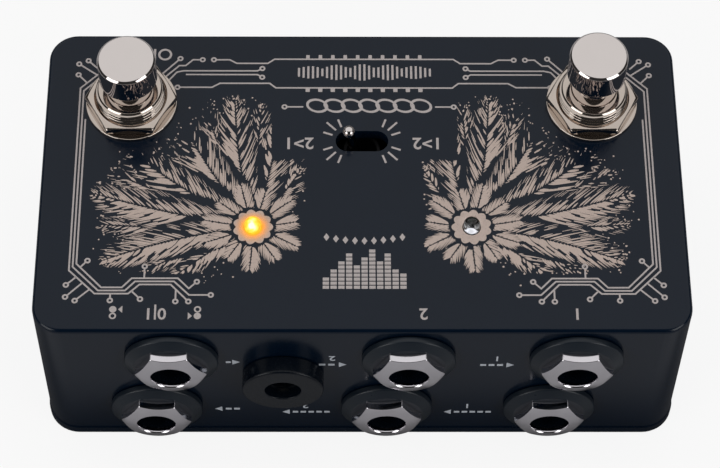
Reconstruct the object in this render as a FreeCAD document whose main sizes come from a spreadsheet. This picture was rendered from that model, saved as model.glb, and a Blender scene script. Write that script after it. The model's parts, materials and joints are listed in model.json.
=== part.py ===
import FreeCAD, Part
import math
import os
import re
import Sketcher

# A loop switcher pedal in a die-cast box, in millimetres.
# +X runs along the box, -Y is the side with the sockets, +Z is up.
# The origin is the centre of the underside, where the box stands.

# Driving dimensions: name, value, meaning
SIZES = [
    ("cut_over", 1.0, "how far a cut reaches past the face it goes through"),
    ("case_width", 112.0, "outside width of the shell at its foot"),
    ("case_depth", 60.9, "outside depth of the shell at its foot"),
    ("case_height", 36.0, "height of the shell without the cover"),
    ("case_corner", 5.4, "outside radius of the upright corners"),
    ("case_draft", 0.43, "how far each side leans in from foot to top"),
    ("case_wall", 2.2, "wall of the shell"),
    ("roof_thickness", 2.4, "thickness of the top panel"),
    ("edge_round", 0.9, "rounding where the top panel meets the sides"),
    ("cover_thickness", 2.2, "thickness of the bottom cover"),
    ("cover_proud", 0.2, "how far the cover stands out past the shell"),
    ("cover_round", 0.6, "rounding of the cover's lower edge"),
    ("rim_height", 1.3, "height of the cover's locating rim"),
    ("rim_width", 1.3, "width of the cover's locating rim"),
    ("rim_gap", 0.3, "gap between the rim and the shell's wall"),
    ("post_diameter", 6.4, "diameter of the screw posts"),
    ("post_inset", 4.5, "from the shell's sides to the middle of a post"),
    ("screw_diameter", 3.0, "shank of the cover screws"),
    ("screw_head", 5.6, "head of the cover screws"),
    ("screw_length", 11.0, "length of the cover screws"),
    ("screw_recess", 0.1, "how far the heads lie below the cover"),
    ("screw_gap", 0.05, "radial gap round a screw in its post"),
    ("cover_hole_gap", 0.2, "radial gap round a screw in the cover"),
    ("recess_width", 0.8, "width of the cross recess in a screw"),
    ("recess_length", 3.0, "length of the cross recess in a screw"),
    ("recess_depth", 1.2, "depth of the cross recess in a screw"),
    ("board_thickness", 1.6, "thickness of the circuit boards"),
    ("board_shift", 1.0, "main board above the middle of the inside"),
    ("board_margin", 7.8, "from the shell's inner side walls to the main board"),
    ("board_front_gap", 0.8, "from the front wall's inside to the main board"),
    ("board_wing_back", 4.5, "back edge of the board's two wings"),
    ("board_back", 22.0, "back edge of the board's middle part"),
    ("board_switch_gap", 2.5, "from a footswitch to the board beside it"),
    ("board_notch_gap", 0.5, "gap round the power inlet in the board"),
    ("input_offset", 32.5, "from the middle to the input socket, to the left"),
    ("send_b_offset", 7.9, "from the middle to the send B socket, to the right"),
    ("send_a_offset", 36.5, "from the middle to the send A socket, to the right"),
    ("row_shift", 3.5, "how far the lower row lies to the left"),
    ("jack_axis_height", 8.0, "from the board to a socket's axis"),
    ("jack_body_width", 14.0, "width of a socket's housing"),
    ("jack_body_depth", 23.0, "depth of a socket's housing"),
    ("jack_body_gap", 0.5, "gap between a housing and the top panel"),
    ("jack_bore", 6.5, "bore for the 6.35 mm plug"),
    ("jack_bushing", 9.0, "threaded bushing of a socket"),
    ("jack_hole_gap", 0.2, "radial gap round a bushing in the wall"),
    ("washer_diameter", 16.0, "diameter of a socket's washer"),
    ("washer_rim", 1.0, "thickness of the washer at its edge"),
    ("washer_height", 1.9, "thickness of the washer under the nut"),
    ("washer_crown", 12.8, "diameter of the washer's flat front"),
    ("washer_gap", 0.15, "radial gap round a bushing in its washer"),
    ("nut_flats", 11.0, "across the flats of a socket nut"),
    ("nut_corners", 12.3, "across the turned corners of a socket nut"),
    ("nut_height", 2.0, "thickness of a socket nut"),
    ("nut_face", 10.2, "diameter of the flat front of a socket nut"),
    ("nut_bevel", 0.9, "depth of the bevel at a socket nut's corners"),
    ("nut_mouth", 6.9, "hole in the closed front of a socket nut"),
    ("nut_mouth_bevel", 0.3, "bevel round that hole"),
    ("nut_front", 0.7, "thickness of the closed front of a socket nut"),
    ("nut_gap", 0.04, "radial gap between a nut and its bushing"),
    ("nut_front_gap", 0.35, "gap between a bushing and its nut's front"),
    ("contact_width", 1.8, "width of a socket's contacts"),
    ("contact_sheet", 0.4, "thickness of a socket's contacts"),
    ("contact_gap", 0.3, "gap round a contact in its bay"),
    ("contact_clear", 0.05, "gap between a contact and the bore beside it"),
    ("tip_spring_length", 7.0, "length of the tip spring"),
    ("tip_spring_back", 2.0, "from the housing's back to the tip spring"),
    ("sleeve_length", 4.0, "length of the sleeve contact"),
    ("sleeve_front", 2.5, "from the wall to the sleeve contact"),
    ("power_offset", 13.6, "from the middle to the power inlet, to the left"),
    ("power_drop", 6.2, "how far the power inlet lies below the upper row"),
    ("power_flange", 14.0, "diameter of the power inlet's flange"),
    ("power_flange_depth", 3.1, "how far the flange stands out"),
    ("power_edge_round", 0.3, "rounding of the flange's front edge"),
    ("power_barrel", 11.4, "diameter of the inlet's threaded barrel"),
    ("power_barrel_depth", 13.4, "length of the barrel inside the wall"),
    ("power_mouth", 6.2, "diameter of the inlet's mouth"),
    ("power_mouth_depth", 2.2, "depth of the mouth"),
    ("power_bore", 5.7, "bore behind the mouth"),
    ("power_bore_depth", 9.5, "depth of the bore from the front"),
    ("power_pin", 2.0, "diameter of the centre pin"),
    ("power_pin_back", 2.6, "from the front to the tip of the pin"),
    ("power_pin_bevel", 0.5, "bevel at the tip of the pin"),
    ("power_tail", 2.5, "how far the inlet's tails reach out at the back"),
    ("power_nut_flats", 14.0, "across the flats of the inlet's nut"),
    ("power_nut_height", 2.4, "thickness of the inlet's nut"),
    ("power_hole_gap", 0.2, "radial gap round the inlet in the wall"),
    ("power_spring_seat", 3.0, "from the axis to the inlet's side spring"),
    ("press_gap", 0.02, "radial gap of a pin pressed into plastic"),
    ("switch_inset", 15.5, "from the shell's side to a footswitch"),
    ("switch_setback", 15.15, "from the shell's back to a footswitch"),
    ("switch_bushing", 12.0, "diameter of a footswitch's threaded bushing"),
    ("switch_bushing_length", 12.0, "length of that bushing"),
    ("switch_bushing_above", 5.0, "how far the bushing stands above the panel"),
    ("switch_bushing_bevel", 0.8, "bevel at the bushing's top"),
    ("switch_hole_gap", 0.2, "radial gap round a bushing in the panel"),
    ("switch_body", 16.6, "width and depth of a footswitch's body"),
    ("switch_body_round", 1.2, "rounding of that body's upright corners"),
    ("switch_frame_height", 6.0, "height of the metal part of the body"),
    ("switch_frame_roof", 2.0, "metal over the hollow of the body"),
    ("switch_base_height", 9.0, "height of the plastic part of the body"),
    ("switch_base_floor", 2.0, "floor under the hollow of the body"),
    ("switch_hollow", 11.4, "diameter of the hollow in the body"),
    ("plunger_stem", 7.8, "diameter of a plunger's stem"),
    ("plunger_cap", 10.1, "diameter of a plunger's cap"),
    ("plunger_cap_height", 5.6, "height of the cap"),
    ("plunger_cap_round", 0.45, "rounding of the cap's edges"),
    ("plunger_rise", 4.6, "from the bushing to the cap when released"),
    ("plunger_foot", 10.4, "diameter of the foot that holds the plunger in"),
    ("plunger_foot_height", 1.2, "thickness of that foot"),
    ("plunger_gap", 0.08, "radial gap round the stem in its bushing"),
    ("latched_drop", 1.3, "how far lower the left plunger stands when latched"),
    ("spring_diameter", 8.4, "mean diameter of a return spring"),
    ("spring_wire", 0.7, "wire of a return spring"),
    ("spring_pitch", 2.4, "distance between the turns of a return spring"),
    ("spring_gap", 0.05, "gap at each end of a return spring"),
    ("top_washer_diameter", 16.0, "diameter of the washer on the panel"),
    ("top_washer_height", 0.6, "thickness of the washer on the panel"),
    ("top_nut_flats", 14.0, "across the flats of the footswitch nuts"),
    ("top_nut_height", 2.0, "thickness of the footswitch nuts"),
    ("top_nut_face", 13.0, "diameter of a footswitch nut's flat face"),
    ("top_nut_bevel", 0.7, "depth of the bevel at that nut's corners"),
    ("top_nut_gap", 0.05, "radial gap between a nut and the bushing"),
    ("lock_washer_diameter", 15.0, "diameter of the toothed washers inside"),
    ("lock_washer_height", 0.8, "thickness of the toothed washers"),
    ("lock_tooth_depth", 1.2, "depth of the notches between the teeth"),
    ("lock_tooth_width", 1.4, "width of the notches between the teeth"),
    ("lock_nut_height", 1.8, "thickness of the nuts inside"),
    ("lock_nut_bevel", 0.6, "depth of the bevel at their corners"),
    ("lug_pitch_x", 5.3, "distance between the rows of lugs along X"),
    ("lug_pitch_y", 4.8, "distance between the rows of lugs along Y"),
    ("lug_width", 2.0, "width of a lug"),
    ("lug_sheet", 0.6, "thickness of a lug"),
    ("lug_length", 2.6, "length of a lug"),
    ("ribbon_width", 8.0, "width of a ribbon cable"),
    ("ribbon_sheet", 0.9, "thickness of a ribbon cable"),
    ("ribbon_overlap", 1.6, "how far a ribbon lies on the lug board"),
    ("ribbon_inset", 1.1, "from the main board's edge to a ribbon"),
    ("toggle_setback", 22.95, "from the shell's back to the toggle's axis"),
    ("toggle_pivot_drop", 10.0, "from the panel's top to the toggle's pivot"),
    ("toggle_body_drop", 8.9, "from the panel's top to the toggle's body"),
    ("toggle_body_width", 12.7, "toggle body along X"),
    ("toggle_body_depth", 6.6, "toggle body along Y"),
    ("toggle_hollow_width", 6.4, "hollow of the toggle body along X"),
    ("toggle_hollow_depth", 3.0, "hollow of the toggle body along Y"),
    ("toggle_hollow_floor", 3.4, "from the pivot to the floor of the hollow"),
    ("toggle_bushing", 6.35, "outside diameter of the toggle's bushing"),
    ("toggle_bushing_bore", 5.3, "bore of the toggle's bushing"),
    ("toggle_bushing_gap", 0.4, "gap between that bushing and the panel"),
    ("toggle_pin", 1.2, "diameter of the toggle's pivot pin"),
    ("toggle_pin_gap", 0.04, "radial gap round the pivot pin"),
    ("toggle_hub", 3.2, "diameter of the lever's hub"),
    ("toggle_hub_width", 2.4, "width of the lever's hub"),
    ("toggle_lean_angle", 10.0, "lean of the lever from upright, in degrees"),
    ("toggle_lever_length", 13.2, "from the pivot to the middle of the tip"),
    ("toggle_lever_foot", 1.9, "diameter of the lever at its hub"),
    ("toggle_lever_neck", 1.5, "diameter of the lever below its tip"),
    ("toggle_tip", 2.2, "diameter of the lever's round tip"),
    ("toggle_tail", 3.0, "from the pivot to the end of the lever's tail"),
    ("toggle_tail_width", 1.4, "diameter of the lever's tail"),
    ("toggle_terminal_pitch", 4.7, "distance between the toggle's terminals"),
    ("toggle_terminal_width", 1.0, "width of a terminal"),
    ("toggle_terminal_sheet", 0.6, "thickness of a terminal"),
    ("toggle_terminal_reach", 1.5, "how far a terminal comes out below the board"),
    ("toggle_terminal_hole", 1.6, "hole for a terminal in the board"),
    ("slot_length", 9.2, "length of the slot for the lever"),
    ("slot_width", 4.2, "width of the slot for the lever"),
    ("lamp_offset", 18.7, "from the middle to a lamp"),
    ("lamp_setback", 20.6, "from the shell's front to a lamp"),
    ("lamp_diameter", 3.0, "diameter of a lamp"),
    ("lamp_flange", 3.8, "diameter of a lamp's flange"),
    ("lamp_flange_height", 1.0, "thickness of a lamp's flange"),
    ("lamp_height", 5.65, "height of a lamp"),
    ("lamp_above", 2.2, "how far a lamp stands above the panel"),
    ("lamp_hole_gap", 0.15, "radial gap round a lamp in the panel"),
    ("lead_pitch", 2.54, "distance between a lamp's leads"),
    ("lead_width", 0.5, "width of a square lead"),
    ("lead_reach", 1.0, "how far the leads of a lying part stand out at its ends"),
    ("resistor_diameter", 2.2, "diameter of a resistor"),
    ("resistor_length", 6.2, "length of a resistor"),
    ("part_lift", 1.5, "from the board to the axis of a lying part"),
    ("part_row", 17.0, "from the middle to the row of small parts"),
    ("resistor_column", 20.0, "from the middle to the outer resistors"),
    ("resistor_step", 4.5, "distance between two resistors"),
    ("diode_diameter", 2.7, "diameter of the polarity diode"),
    ("diode_length", 5.2, "length of the polarity diode"),
    ("diode_column", 9.5, "from the middle to the diode"),
    ("capacitor_diameter", 6.3, "diameter of the filter capacitor"),
    ("capacitor_height", 8.0, "height of the filter capacitor"),
    ("capacitor_column", 10.0, "from the middle to the capacitor"),
]

# Turn of each socket nut about its axis, in degrees
NUT_TURNS = {"input": 1.0, "output": -4.0, "send_b": 3.0, "return_b": 5.0, "send_a": -2.0, "return_a": 2.0}

# Number of teeth of a lock washer
LOCK_TEETH = 12

# Distance under which a point counts as lying on a face
NEAR = 1e-3

doc = FreeCAD.newDocument("loop_switcher")
sheet = doc.addObject("Spreadsheet::Sheet", "Sizes")
for row, (alias, number, meaning) in enumerate(SIZES, start=1):
    sheet.set(f"A{row}", meaning)
    sheet.set(f"B{row}", str(number))
    sheet.setAlias(f"B{row}", alias)
doc.recompute()

NAMES = {alias for alias, _, _ in SIZES}

# Places that several pieces share, each worked out from the driving dimensions
PLACES = {
    "panel_top": "cover_thickness + case_height",
    "roof_under": "cover_thickness + case_height - roof_thickness",
    "inside_width": "case_width - 2 * case_wall",
    "inside_depth": "case_depth - 2 * case_wall",
    "front_inside": "case_depth / 2 - case_wall",
    "post_x": "case_width / 2 - post_inset",
    "post_y": "case_depth / 2 - post_inset",
    "board_middle": "cover_thickness + (case_height - roof_thickness) / 2 + board_shift",
    "board_top": "board_middle + board_thickness / 2",
    "board_under": "board_middle - board_thickness / 2",
    "upper_row": "board_top + jack_axis_height",
    "lower_row": "board_under - jack_axis_height",
    "jack_body_above": "roof_under - jack_body_gap - upper_row",
    "power_z": "upper_row - power_drop",
    "switch_x": "case_width / 2 - switch_inset",
    "switch_y": "case_depth / 2 - switch_setback",
    "switch_bushing_top": "panel_top + switch_bushing_above",
    "switch_frame_top": "switch_bushing_top - switch_bushing_length",
    "switch_frame_under": "switch_frame_top - switch_frame_height",
    "switch_base_under": "switch_frame_under - switch_base_height",
    "lug_board_top": "switch_base_under - lug_length",
    "toggle_y": "case_depth / 2 - toggle_setback",
    "toggle_pivot": "panel_top - toggle_pivot_drop",
    "toggle_body_top": "panel_top - toggle_body_drop",
    "lamp_y": "-(case_depth / 2 - lamp_setback)",
    "lamp_under": "panel_top + lamp_above - lamp_height",
    "board_middle_edge": "switch_x - switch_body / 2 - board_switch_gap",
    "part_height": "board_top + part_lift",
}

def link(text):
    """Turn an expression in plain size names into one that reads the sheet."""
    def found(match):
        word = match[0]
        if word in PLACES:
            return "(" + link(PLACES[word]) + ")"
        return f"Sizes.{word}" if word in NAMES else word
    return re.sub(r"[a-z_][a-z_0-9]*", found, str(text))


def value(text):
    """The number that an expression in size names gives now."""
    result = sheet.evalExpression(link(text))
    return float(getattr(result, "Value", result))


def bind(thing, prop, text):
    thing.setExpression(prop, link(text))


def place(thing, x=0, y=0, z=0, axis=None, angle=0):
    """Put an object at a point given by expressions, turned about an axis."""
    turn = FreeCAD.Rotation(FreeCAD.Vector(*(axis or (0, 0, 1))), angle)
    thing.Placement = FreeCAD.Placement(FreeCAD.Vector(0, 0, 0), turn)
    for letter, text in zip("xyz", (x, y, z)):
        bind(thing, f"Placement.Base.{letter}", text)
    return thing


# Part primitives and booleans

def cylinder(name, diameter, height, **where):
    thing = doc.addObject("Part::Cylinder", name)
    bind(thing, "Radius", f"({diameter}) / 2")
    bind(thing, "Height", height)
    return place(thing, **where)


def cone(name, bottom, top, height, **where):
    thing = doc.addObject("Part::Cone", name)
    bind(thing, "Radius1", f"({bottom}) / 2")
    bind(thing, "Radius2", f"({top}) / 2")
    bind(thing, "Height", height)
    return place(thing, **where)


def box(name, length, width, height, x="0", y="0", z="0"):
    """A box centred on x and y that stands on z."""
    thing = doc.addObject("Part::Box", name)
    bind(thing, "Length", length)
    bind(thing, "Width", width)
    bind(thing, "Height", height)
    return place(thing, x=f"({x}) - ({length}) / 2", y=f"({y}) - ({width}) / 2", z=z)


def prism(name, flats, height, **where):
    """A hexagon of the given width across its flats, with a flat facing its local Y."""
    thing = doc.addObject("Part::Prism", name)
    thing.Polygon = 6
    bind(thing, "Circumradius", f"({flats}) / sqrt(3)")
    bind(thing, "Height", height)
    return place(thing, **where)


def cut(name, base, tool):
    thing = doc.addObject("Part::Cut", name)
    thing.Base = base
    thing.Tool = tool
    return thing


def common(name, *pieces):
    thing = doc.addObject("Part::MultiCommon", name)
    thing.Shapes = list(pieces)
    return thing


def fuse(name, *pieces):
    thing = doc.addObject("Part::MultiFuse", name)
    thing.Shapes = list(pieces)
    return thing


def group(name, pieces):
    thing = doc.addObject("Part::Compound", name)
    thing.Links = list(pieces)
    return thing


# Part design bodies and sketches

def body(name, **where):
    thing = doc.addObject("PartDesign::Body", name)
    thing.Label = name
    return place(thing, **where)


def sketch(owner, name, plane="XY_Plane", offset="0"):
    """A sketch on one of the body's own origin planes, moved along its normal."""
    thing = owner.newObject("Sketcher::SketchObject", name)
    origin_plane = next(f for f in owner.Origin.OriginFeatures if f.Role == plane)
    thing.AttachmentSupport = [(origin_plane, "")]
    thing.MapMode = "FlatFace"
    bind(thing, "AttachmentOffset.Base.z", offset)
    return thing


def pin_point(owner, item, end, x, y):
    """Fix a point of a sketch at expressions for its two coordinates."""
    for kind, text in (("DistanceX", x), ("DistanceY", y)):
        index = owner.addConstraint(Sketcher.Constraint(kind, -1, 1, item, end, value(text)))
        bind(owner, f"Constraints[{index}]", text)


def add_circle(owner, x, y, diameter):
    centre = FreeCAD.Vector(value(x), value(y), 0)
    item = owner.addGeometry(Part.Circle(centre, FreeCAD.Vector(0, 0, 1), value(diameter) / 2))
    index = owner.addConstraint(Sketcher.Constraint("Diameter", item, value(diameter)))
    bind(owner, f"Constraints[{index}]", diameter)
    pin_point(owner, item, 3, x, y)


def add_polygon(owner, points):
    """A closed outline of straight lines, with each corner given by two expressions."""
    corners = [FreeCAD.Vector(value(x), value(y), 0) for x, y in points]
    ends = corners[1:] + corners[:1]
    items = [owner.addGeometry(Part.LineSegment(a, b)) for a, b in zip(corners, ends)]
    for item, after in zip(items, items[1:] + items[:1]):
        owner.addConstraint(Sketcher.Constraint("Coincident", item, 2, after, 1))
    for item, (x, y) in zip(items, points):
        pin_point(owner, item, 1, x, y)


def add_block(owner, left, low, right, high):
    add_polygon(owner, [(left, low), (right, low), (right, high), (left, high)])


def add_rounded_block(owner, width, depth, radius):
    """A centred rectangle with round corners, or a slot where the radius is half the depth."""
    half_x, half_y, r = value(width) / 2, value(depth) / 2, value(radius)
    signs = [(1, 1), (-1, 1), (-1, -1), (1, -1)]
    arcs = []
    for number, (sx, sy) in enumerate(signs):
        centre = FreeCAD.Vector(sx * (half_x - r), sy * (half_y - r), 0)
        circle = Part.Circle(centre, FreeCAD.Vector(0, 0, 1), r)
        start = number * math.pi / 2
        arcs.append(owner.addGeometry(Part.ArcOfCircle(circle, start, start + math.pi / 2)))
    for number, arc in enumerate(arcs):
        after = arcs[(number + 1) % 4]
        start = owner.getPoint(arc, 2)
        end = owner.getPoint(after, 1)
        if (end - start).Length > NEAR:
            line = owner.addGeometry(Part.LineSegment(start, end))
            owner.addConstraint(Sketcher.Constraint("Tangent", arc, 2, line, 1))
            owner.addConstraint(Sketcher.Constraint("Tangent", line, 2, after, 1))
            owner.addConstraint(Sketcher.Constraint("Vertical" if number % 2 else "Horizontal", line))
    index = owner.addConstraint(Sketcher.Constraint("Radius", arcs[0], r))
    bind(owner, f"Constraints[{index}]", radius)
    for arc in arcs[1:]:
        owner.addConstraint(Sketcher.Constraint("Equal", arcs[0], arc))
    pin_point(owner, arcs[0], 3, f"({width}) / 2 - ({radius})", f"({depth}) / 2 - ({radius})")
    pin_point(owner, arcs[2], 3, f"({radius}) - ({width}) / 2", f"({radius}) - ({depth}) / 2")


def add_slot(owner, x, y, length, width):
    """A slot along X with round ends."""
    half = value(f"({length}) / 2 - ({width}) / 2")
    middle_x, middle_y, r = value(x), value(y), value(width) / 2
    ends = []
    for side, start in ((1, -math.pi / 2), (-1, math.pi / 2)):
        circle = Part.Circle(FreeCAD.Vector(middle_x + side * half, middle_y, 0), FreeCAD.Vector(0, 0, 1), r)
        ends.append(owner.addGeometry(Part.ArcOfCircle(circle, start, start + math.pi)))
    for arc, after in ((ends[0], ends[1]), (ends[1], ends[0])):
        line = owner.addGeometry(Part.LineSegment(owner.getPoint(arc, 2), owner.getPoint(after, 1)))
        owner.addConstraint(Sketcher.Constraint("Tangent", arc, 2, line, 1))
        owner.addConstraint(Sketcher.Constraint("Tangent", line, 2, after, 1))
    index = owner.addConstraint(Sketcher.Constraint("Radius", ends[0], r))
    bind(owner, f"Constraints[{index}]", f"({width}) / 2")
    pin_point(owner, ends[0], 3, f"({x}) + ({length}) / 2 - ({width}) / 2", y)
    pin_point(owner, ends[1], 3, f"({x}) - ({length}) / 2 + ({width}) / 2", y)


def feature(owner, kind, name, profile):
    thing = owner.newObject(f"PartDesign::{kind}", name)
    thing.Profile = profile
    profile.Visibility = False
    return thing


def pad(owner, name, profile, length, back=False):
    thing = feature(owner, "Pad", name, profile)
    bind(thing, "Length", length)
    thing.Reversed = back
    return thing


def pocket(owner, name, profile, length, back=False):
    """Cut a profile into the body, and make sure that it took material away."""
    doc.recompute()
    before = owner.Shape.Volume
    thing = feature(owner, "Pocket", name, profile)
    bind(thing, "Length", length)
    thing.Reversed = back
    doc.recompute()
    if not owner.Shape.Volume < before - NEAR:
        raise RuntimeError(f"{name} cuts nothing")
    return thing


def revolve(owner, name, profile, kind="Revolution"):
    """Turn a profile about the sketch's vertical axis."""
    thing = feature(owner, kind, name, profile)
    thing.ReferenceAxis = (profile, ["V_Axis"])
    thing.Angle = 360
    return thing


def soften(owner, name, kind, base, test, prop, size):
    """Round or bevel those edges of a feature that pass a test on their points."""
    doc.recompute()
    picked = []
    for number, edge in enumerate(base.Shape.Edges, start=1):
        points = [edge.valueAt(edge.FirstParameter + part * (edge.LastParameter - edge.FirstParameter))
                  for part in (0.0, 0.5, 1.0)]
        if all(test(point) for point in points):
            picked.append(f"Edge{number}")
    if not picked:
        raise RuntimeError(f"{name} finds no edge")
    thing = owner.newObject(f"PartDesign::{kind}", name)
    thing.Base = (base, picked)
    bind(thing, prop, size)
    return thing


FACING_FRONT = {"axis": (1, 0, 0), "angle": 90}


# Die-cast shell with its posts and openings

def socket_places():
    """Each socket with its place along X and its row."""
    upper = {"input": "-input_offset", "send_b": "send_b_offset", "send_a": "send_a_offset"}
    lower = {"output": "-input_offset", "return_b": "send_b_offset", "return_a": "send_a_offset"}
    places = {name: (x, "upper_row") for name, x in upper.items()}
    places.update({name: (f"{x} - row_shift", "lower_row") for name, x in lower.items()})
    return places


SOCKETS = socket_places()


def seat_out(height, radius):
    """How far the drafted front wall reaches out past its inner face at a washer's lowest point."""
    return f"case_wall - case_draft * ({height} - {radius} - cover_thickness) / case_height"


def post_points():
    return [(f"{sx} * post_x", f"{sy} * post_y") for sx in (1, -1) for sy in (1, -1)]


def make_enclosure():
    shell = body("enclosure_body", z="cover_thickness")
    outline = sketch(shell, "shell_outline")
    add_rounded_block(outline, "case_width", "case_depth", "case_corner")
    block = pad(shell, "shell_block", outline, "case_height")
    bind(block, "TaperAngle", "-atan(case_draft / case_height)")
    height = value("case_height")
    soften(shell, "shell_edge", "Fillet", block, lambda p: abs(p.z - height) < NEAR, "Radius", "edge_round")
    hollow = sketch(shell, "shell_hollow_outline")
    add_rounded_block(hollow, "inside_width", "inside_depth", "case_corner - case_wall")
    pocket(shell, "shell_hollow", hollow, "case_height - roof_thickness", back=True)
    posts = sketch(shell, "post_circles")
    for x, y in post_points():
        add_circle(posts, x, y, "post_diameter")
    pad(shell, "posts", posts, "case_height - roof_thickness")
    holes = sketch(shell, "post_hole_circles")
    for x, y in post_points():
        add_circle(holes, x, y, "screw_diameter + 2 * screw_gap")
    pocket(shell, "post_holes", holes, "screw_length", back=True)
    openings = sketch(shell, "panel_openings", offset="case_height")
    for side in (1, -1):
        add_circle(openings, f"{side} * switch_x", "switch_y", "switch_bushing + 2 * switch_hole_gap")
        add_circle(openings, f"{side} * lamp_offset", "lamp_y", "lamp_diameter + 2 * lamp_hole_gap")
    add_slot(openings, "0", "toggle_y", "slot_length", "slot_width")
    pocket(shell, "panel_holes", openings, "roof_thickness + cut_over")
    front = sketch(shell, "front_openings", plane="XZ_Plane", offset="case_depth / 2")
    for x, height_text in SOCKETS.values():
        add_circle(front, x, f"{height_text} - cover_thickness", "jack_bushing + 2 * jack_hole_gap")
    add_circle(front, "-power_offset", "power_z - cover_thickness", "power_barrel + 2 * power_hole_gap")
    pocket(shell, "front_holes", front, "case_wall + cut_over")
    return shell


# Bottom cover with its locating rim

def make_cover():
    cover = body("bottom_cover")
    outline = sketch(cover, "cover_outline")
    add_rounded_block(outline, "case_width + 2 * cover_proud", "case_depth + 2 * cover_proud",
                      "case_corner + cover_proud")
    plate = pad(cover, "cover_plate", outline, "cover_thickness")
    soften(cover, "cover_edge", "Fillet", plate, lambda p: abs(p.z) < NEAR, "Radius", "cover_round")
    rim = sketch(cover, "rim_bars", offset="cover_thickness")
    reach_x = "post_x - post_diameter / 2 - 2 * rim_gap"
    reach_y = "post_y - post_diameter / 2 - 2 * rim_gap"
    outer_x, outer_y = "inside_width / 2 - rim_gap", "inside_depth / 2 - rim_gap"
    for side in (1, -1):
        low, high = sorted((f"{side} * ({outer_y} - rim_width)", f"{side} * ({outer_y})"), key=value)
        add_block(rim, f"-({reach_x})", low, reach_x, high)
        left, right = sorted((f"{side} * ({outer_x} - rim_width)", f"{side} * ({outer_x})"), key=value)
        add_block(rim, left, f"-({reach_y})", right, reach_y)
    pad(cover, "rim", rim, "rim_height")
    holes = sketch(cover, "cover_hole_circles")
    for x, y in post_points():
        add_circle(holes, x, y, "screw_diameter + 2 * cover_hole_gap")
    drilled = pocket(cover, "cover_holes", holes, "cover_thickness", back=True)
    radius = value("screw_diameter / 2 + cover_hole_gap")
    spots = [(value(x), value(y)) for x, y in post_points()]

    def at_hole_mouth(point):
        near_hole = any(math.hypot(point.x - x, point.y - y) < radius + NEAR for x, y in spots)
        return abs(point.z) < NEAR and near_hole

    soften(cover, "countersinks", "Chamfer", drilled, at_hole_mouth, "Size",
           "(screw_head - screw_diameter) / 2 - cover_hole_gap + screw_recess")
    return cover


def make_cover_screws():
    """Four countersunk screws with a cross recess."""
    screws = []
    for number, (x, y) in enumerate(post_points(), start=1):
        at = {"x": x, "y": y}
        head = cone(f"screw_head_{number}", "screw_head - 2 * cover_hole_gap", "screw_diameter",
                    "(screw_head - screw_diameter) / 2", z="screw_recess", **at)
        shank = cylinder(f"screw_shank_{number}", "screw_diameter", "screw_length - screw_recess",
                         z="screw_recess", **at)
        blank = fuse(f"screw_blank_{number}", head, shank)
        bars = [box(f"recess_bar_{number}_{turn}", long, wide, "recess_depth", z="screw_recess", **at)
                for turn, (long, wide) in enumerate((("recess_length", "recess_width"),
                                                     ("recess_width", "recess_length")))]
        cross = fuse(f"recess_{number}", *bars)
        screws.append(cut(f"screw_{number}", blank, cross))
    return group("cover_screws", screws)


# Jack sockets, each built along its own axis with the wall's inner face at zero

BAY_HALF = "(contact_width / 2 + contact_gap)"
ROW_TURNS = {"upper_row": FACING_FRONT, "lower_row": {"axis": (0, 1, -1), "angle": 180}}


def make_jack_housing(name, x, row):
    """Plastic housing with its bushing and two bays for the contacts on the board's side."""
    housing = body(f"{name}_jack_housing", x=x, y="-front_inside", z=row, **ROW_TURNS[row])
    outline = sketch(housing, f"{name}_block_outline")
    add_block(outline, "-jack_body_width / 2", "-jack_axis_height", "jack_body_width / 2", "jack_body_above")
    pad(housing, f"{name}_block", outline, "jack_body_depth", back=True)
    collar = sketch(housing, f"{name}_bushing_circle")
    add_circle(collar, "0", "0", "jack_bushing")
    pad(housing, f"{name}_bushing", collar,
        "case_wall + washer_height + nut_height - nut_front - nut_front_gap")
    bore = sketch(housing, f"{name}_bore_circle", offset="case_wall + washer_height + nut_height")
    add_circle(bore, "0", "0", "jack_bore")
    pocket(housing, f"{name}_bore", bore, "case_wall + washer_height + nut_height + jack_body_depth")
    bays = sketch(housing, f"{name}_bay_outlines", plane="YZ_Plane", offset=f"-{BAY_HALF}")
    low, high = "-jack_axis_height", "0"
    tip_back = "tip_spring_back - jack_body_depth - contact_gap"
    add_block(bays, low, tip_back, high, f"{tip_back} + tip_spring_length + 2 * contact_gap")
    sleeve_end = "contact_gap - sleeve_front"
    add_block(bays, low, f"{sleeve_end} - sleeve_length - 2 * contact_gap", high, sleeve_end)
    pocket(housing, f"{name}_bays", bays, f"2 * {BAY_HALF}", back=True)
    return housing


def make_contact(label, name, x, row, start, length, tail_at_start):
    """Bent strip under the bore: a leaf along it and a tail down to the board."""
    strip = body(f"{name}_{label}", x=x, y="-front_inside", z=row, **ROW_TURNS[row])
    profile = sketch(strip, f"{name}_{label}_profile", plane="YZ_Plane", offset="-contact_width / 2")
    top = "-(jack_bore / 2 + contact_clear)"
    under = f"{top} - contact_sheet"
    foot = "-jack_axis_height"
    end = f"{start} + {length}"
    inner = f"{start} + contact_sheet" if tail_at_start else f"{end} - contact_sheet"
    if tail_at_start:
        corners = [(foot, start), (top, start), (top, end), (under, end), (under, inner), (foot, inner)]
    else:
        corners = [(foot, end), (foot, inner), (under, inner), (under, start), (top, start), (top, end)]
    add_polygon(profile, corners)
    pad(strip, f"{name}_{label}_strip", profile, "contact_width")
    return strip


def make_jack(name, x, row):
    return [
        make_jack_housing(name, x, row),
        make_contact("tip_spring", name, x, row, "tip_spring_back - jack_body_depth", "tip_spring_length",
                     tail_at_start=True),
        make_contact("sleeve_contact", name, x, row, "-sleeve_front - sleeve_length", "sleeve_length",
                     tail_at_start=False),
    ]


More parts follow.
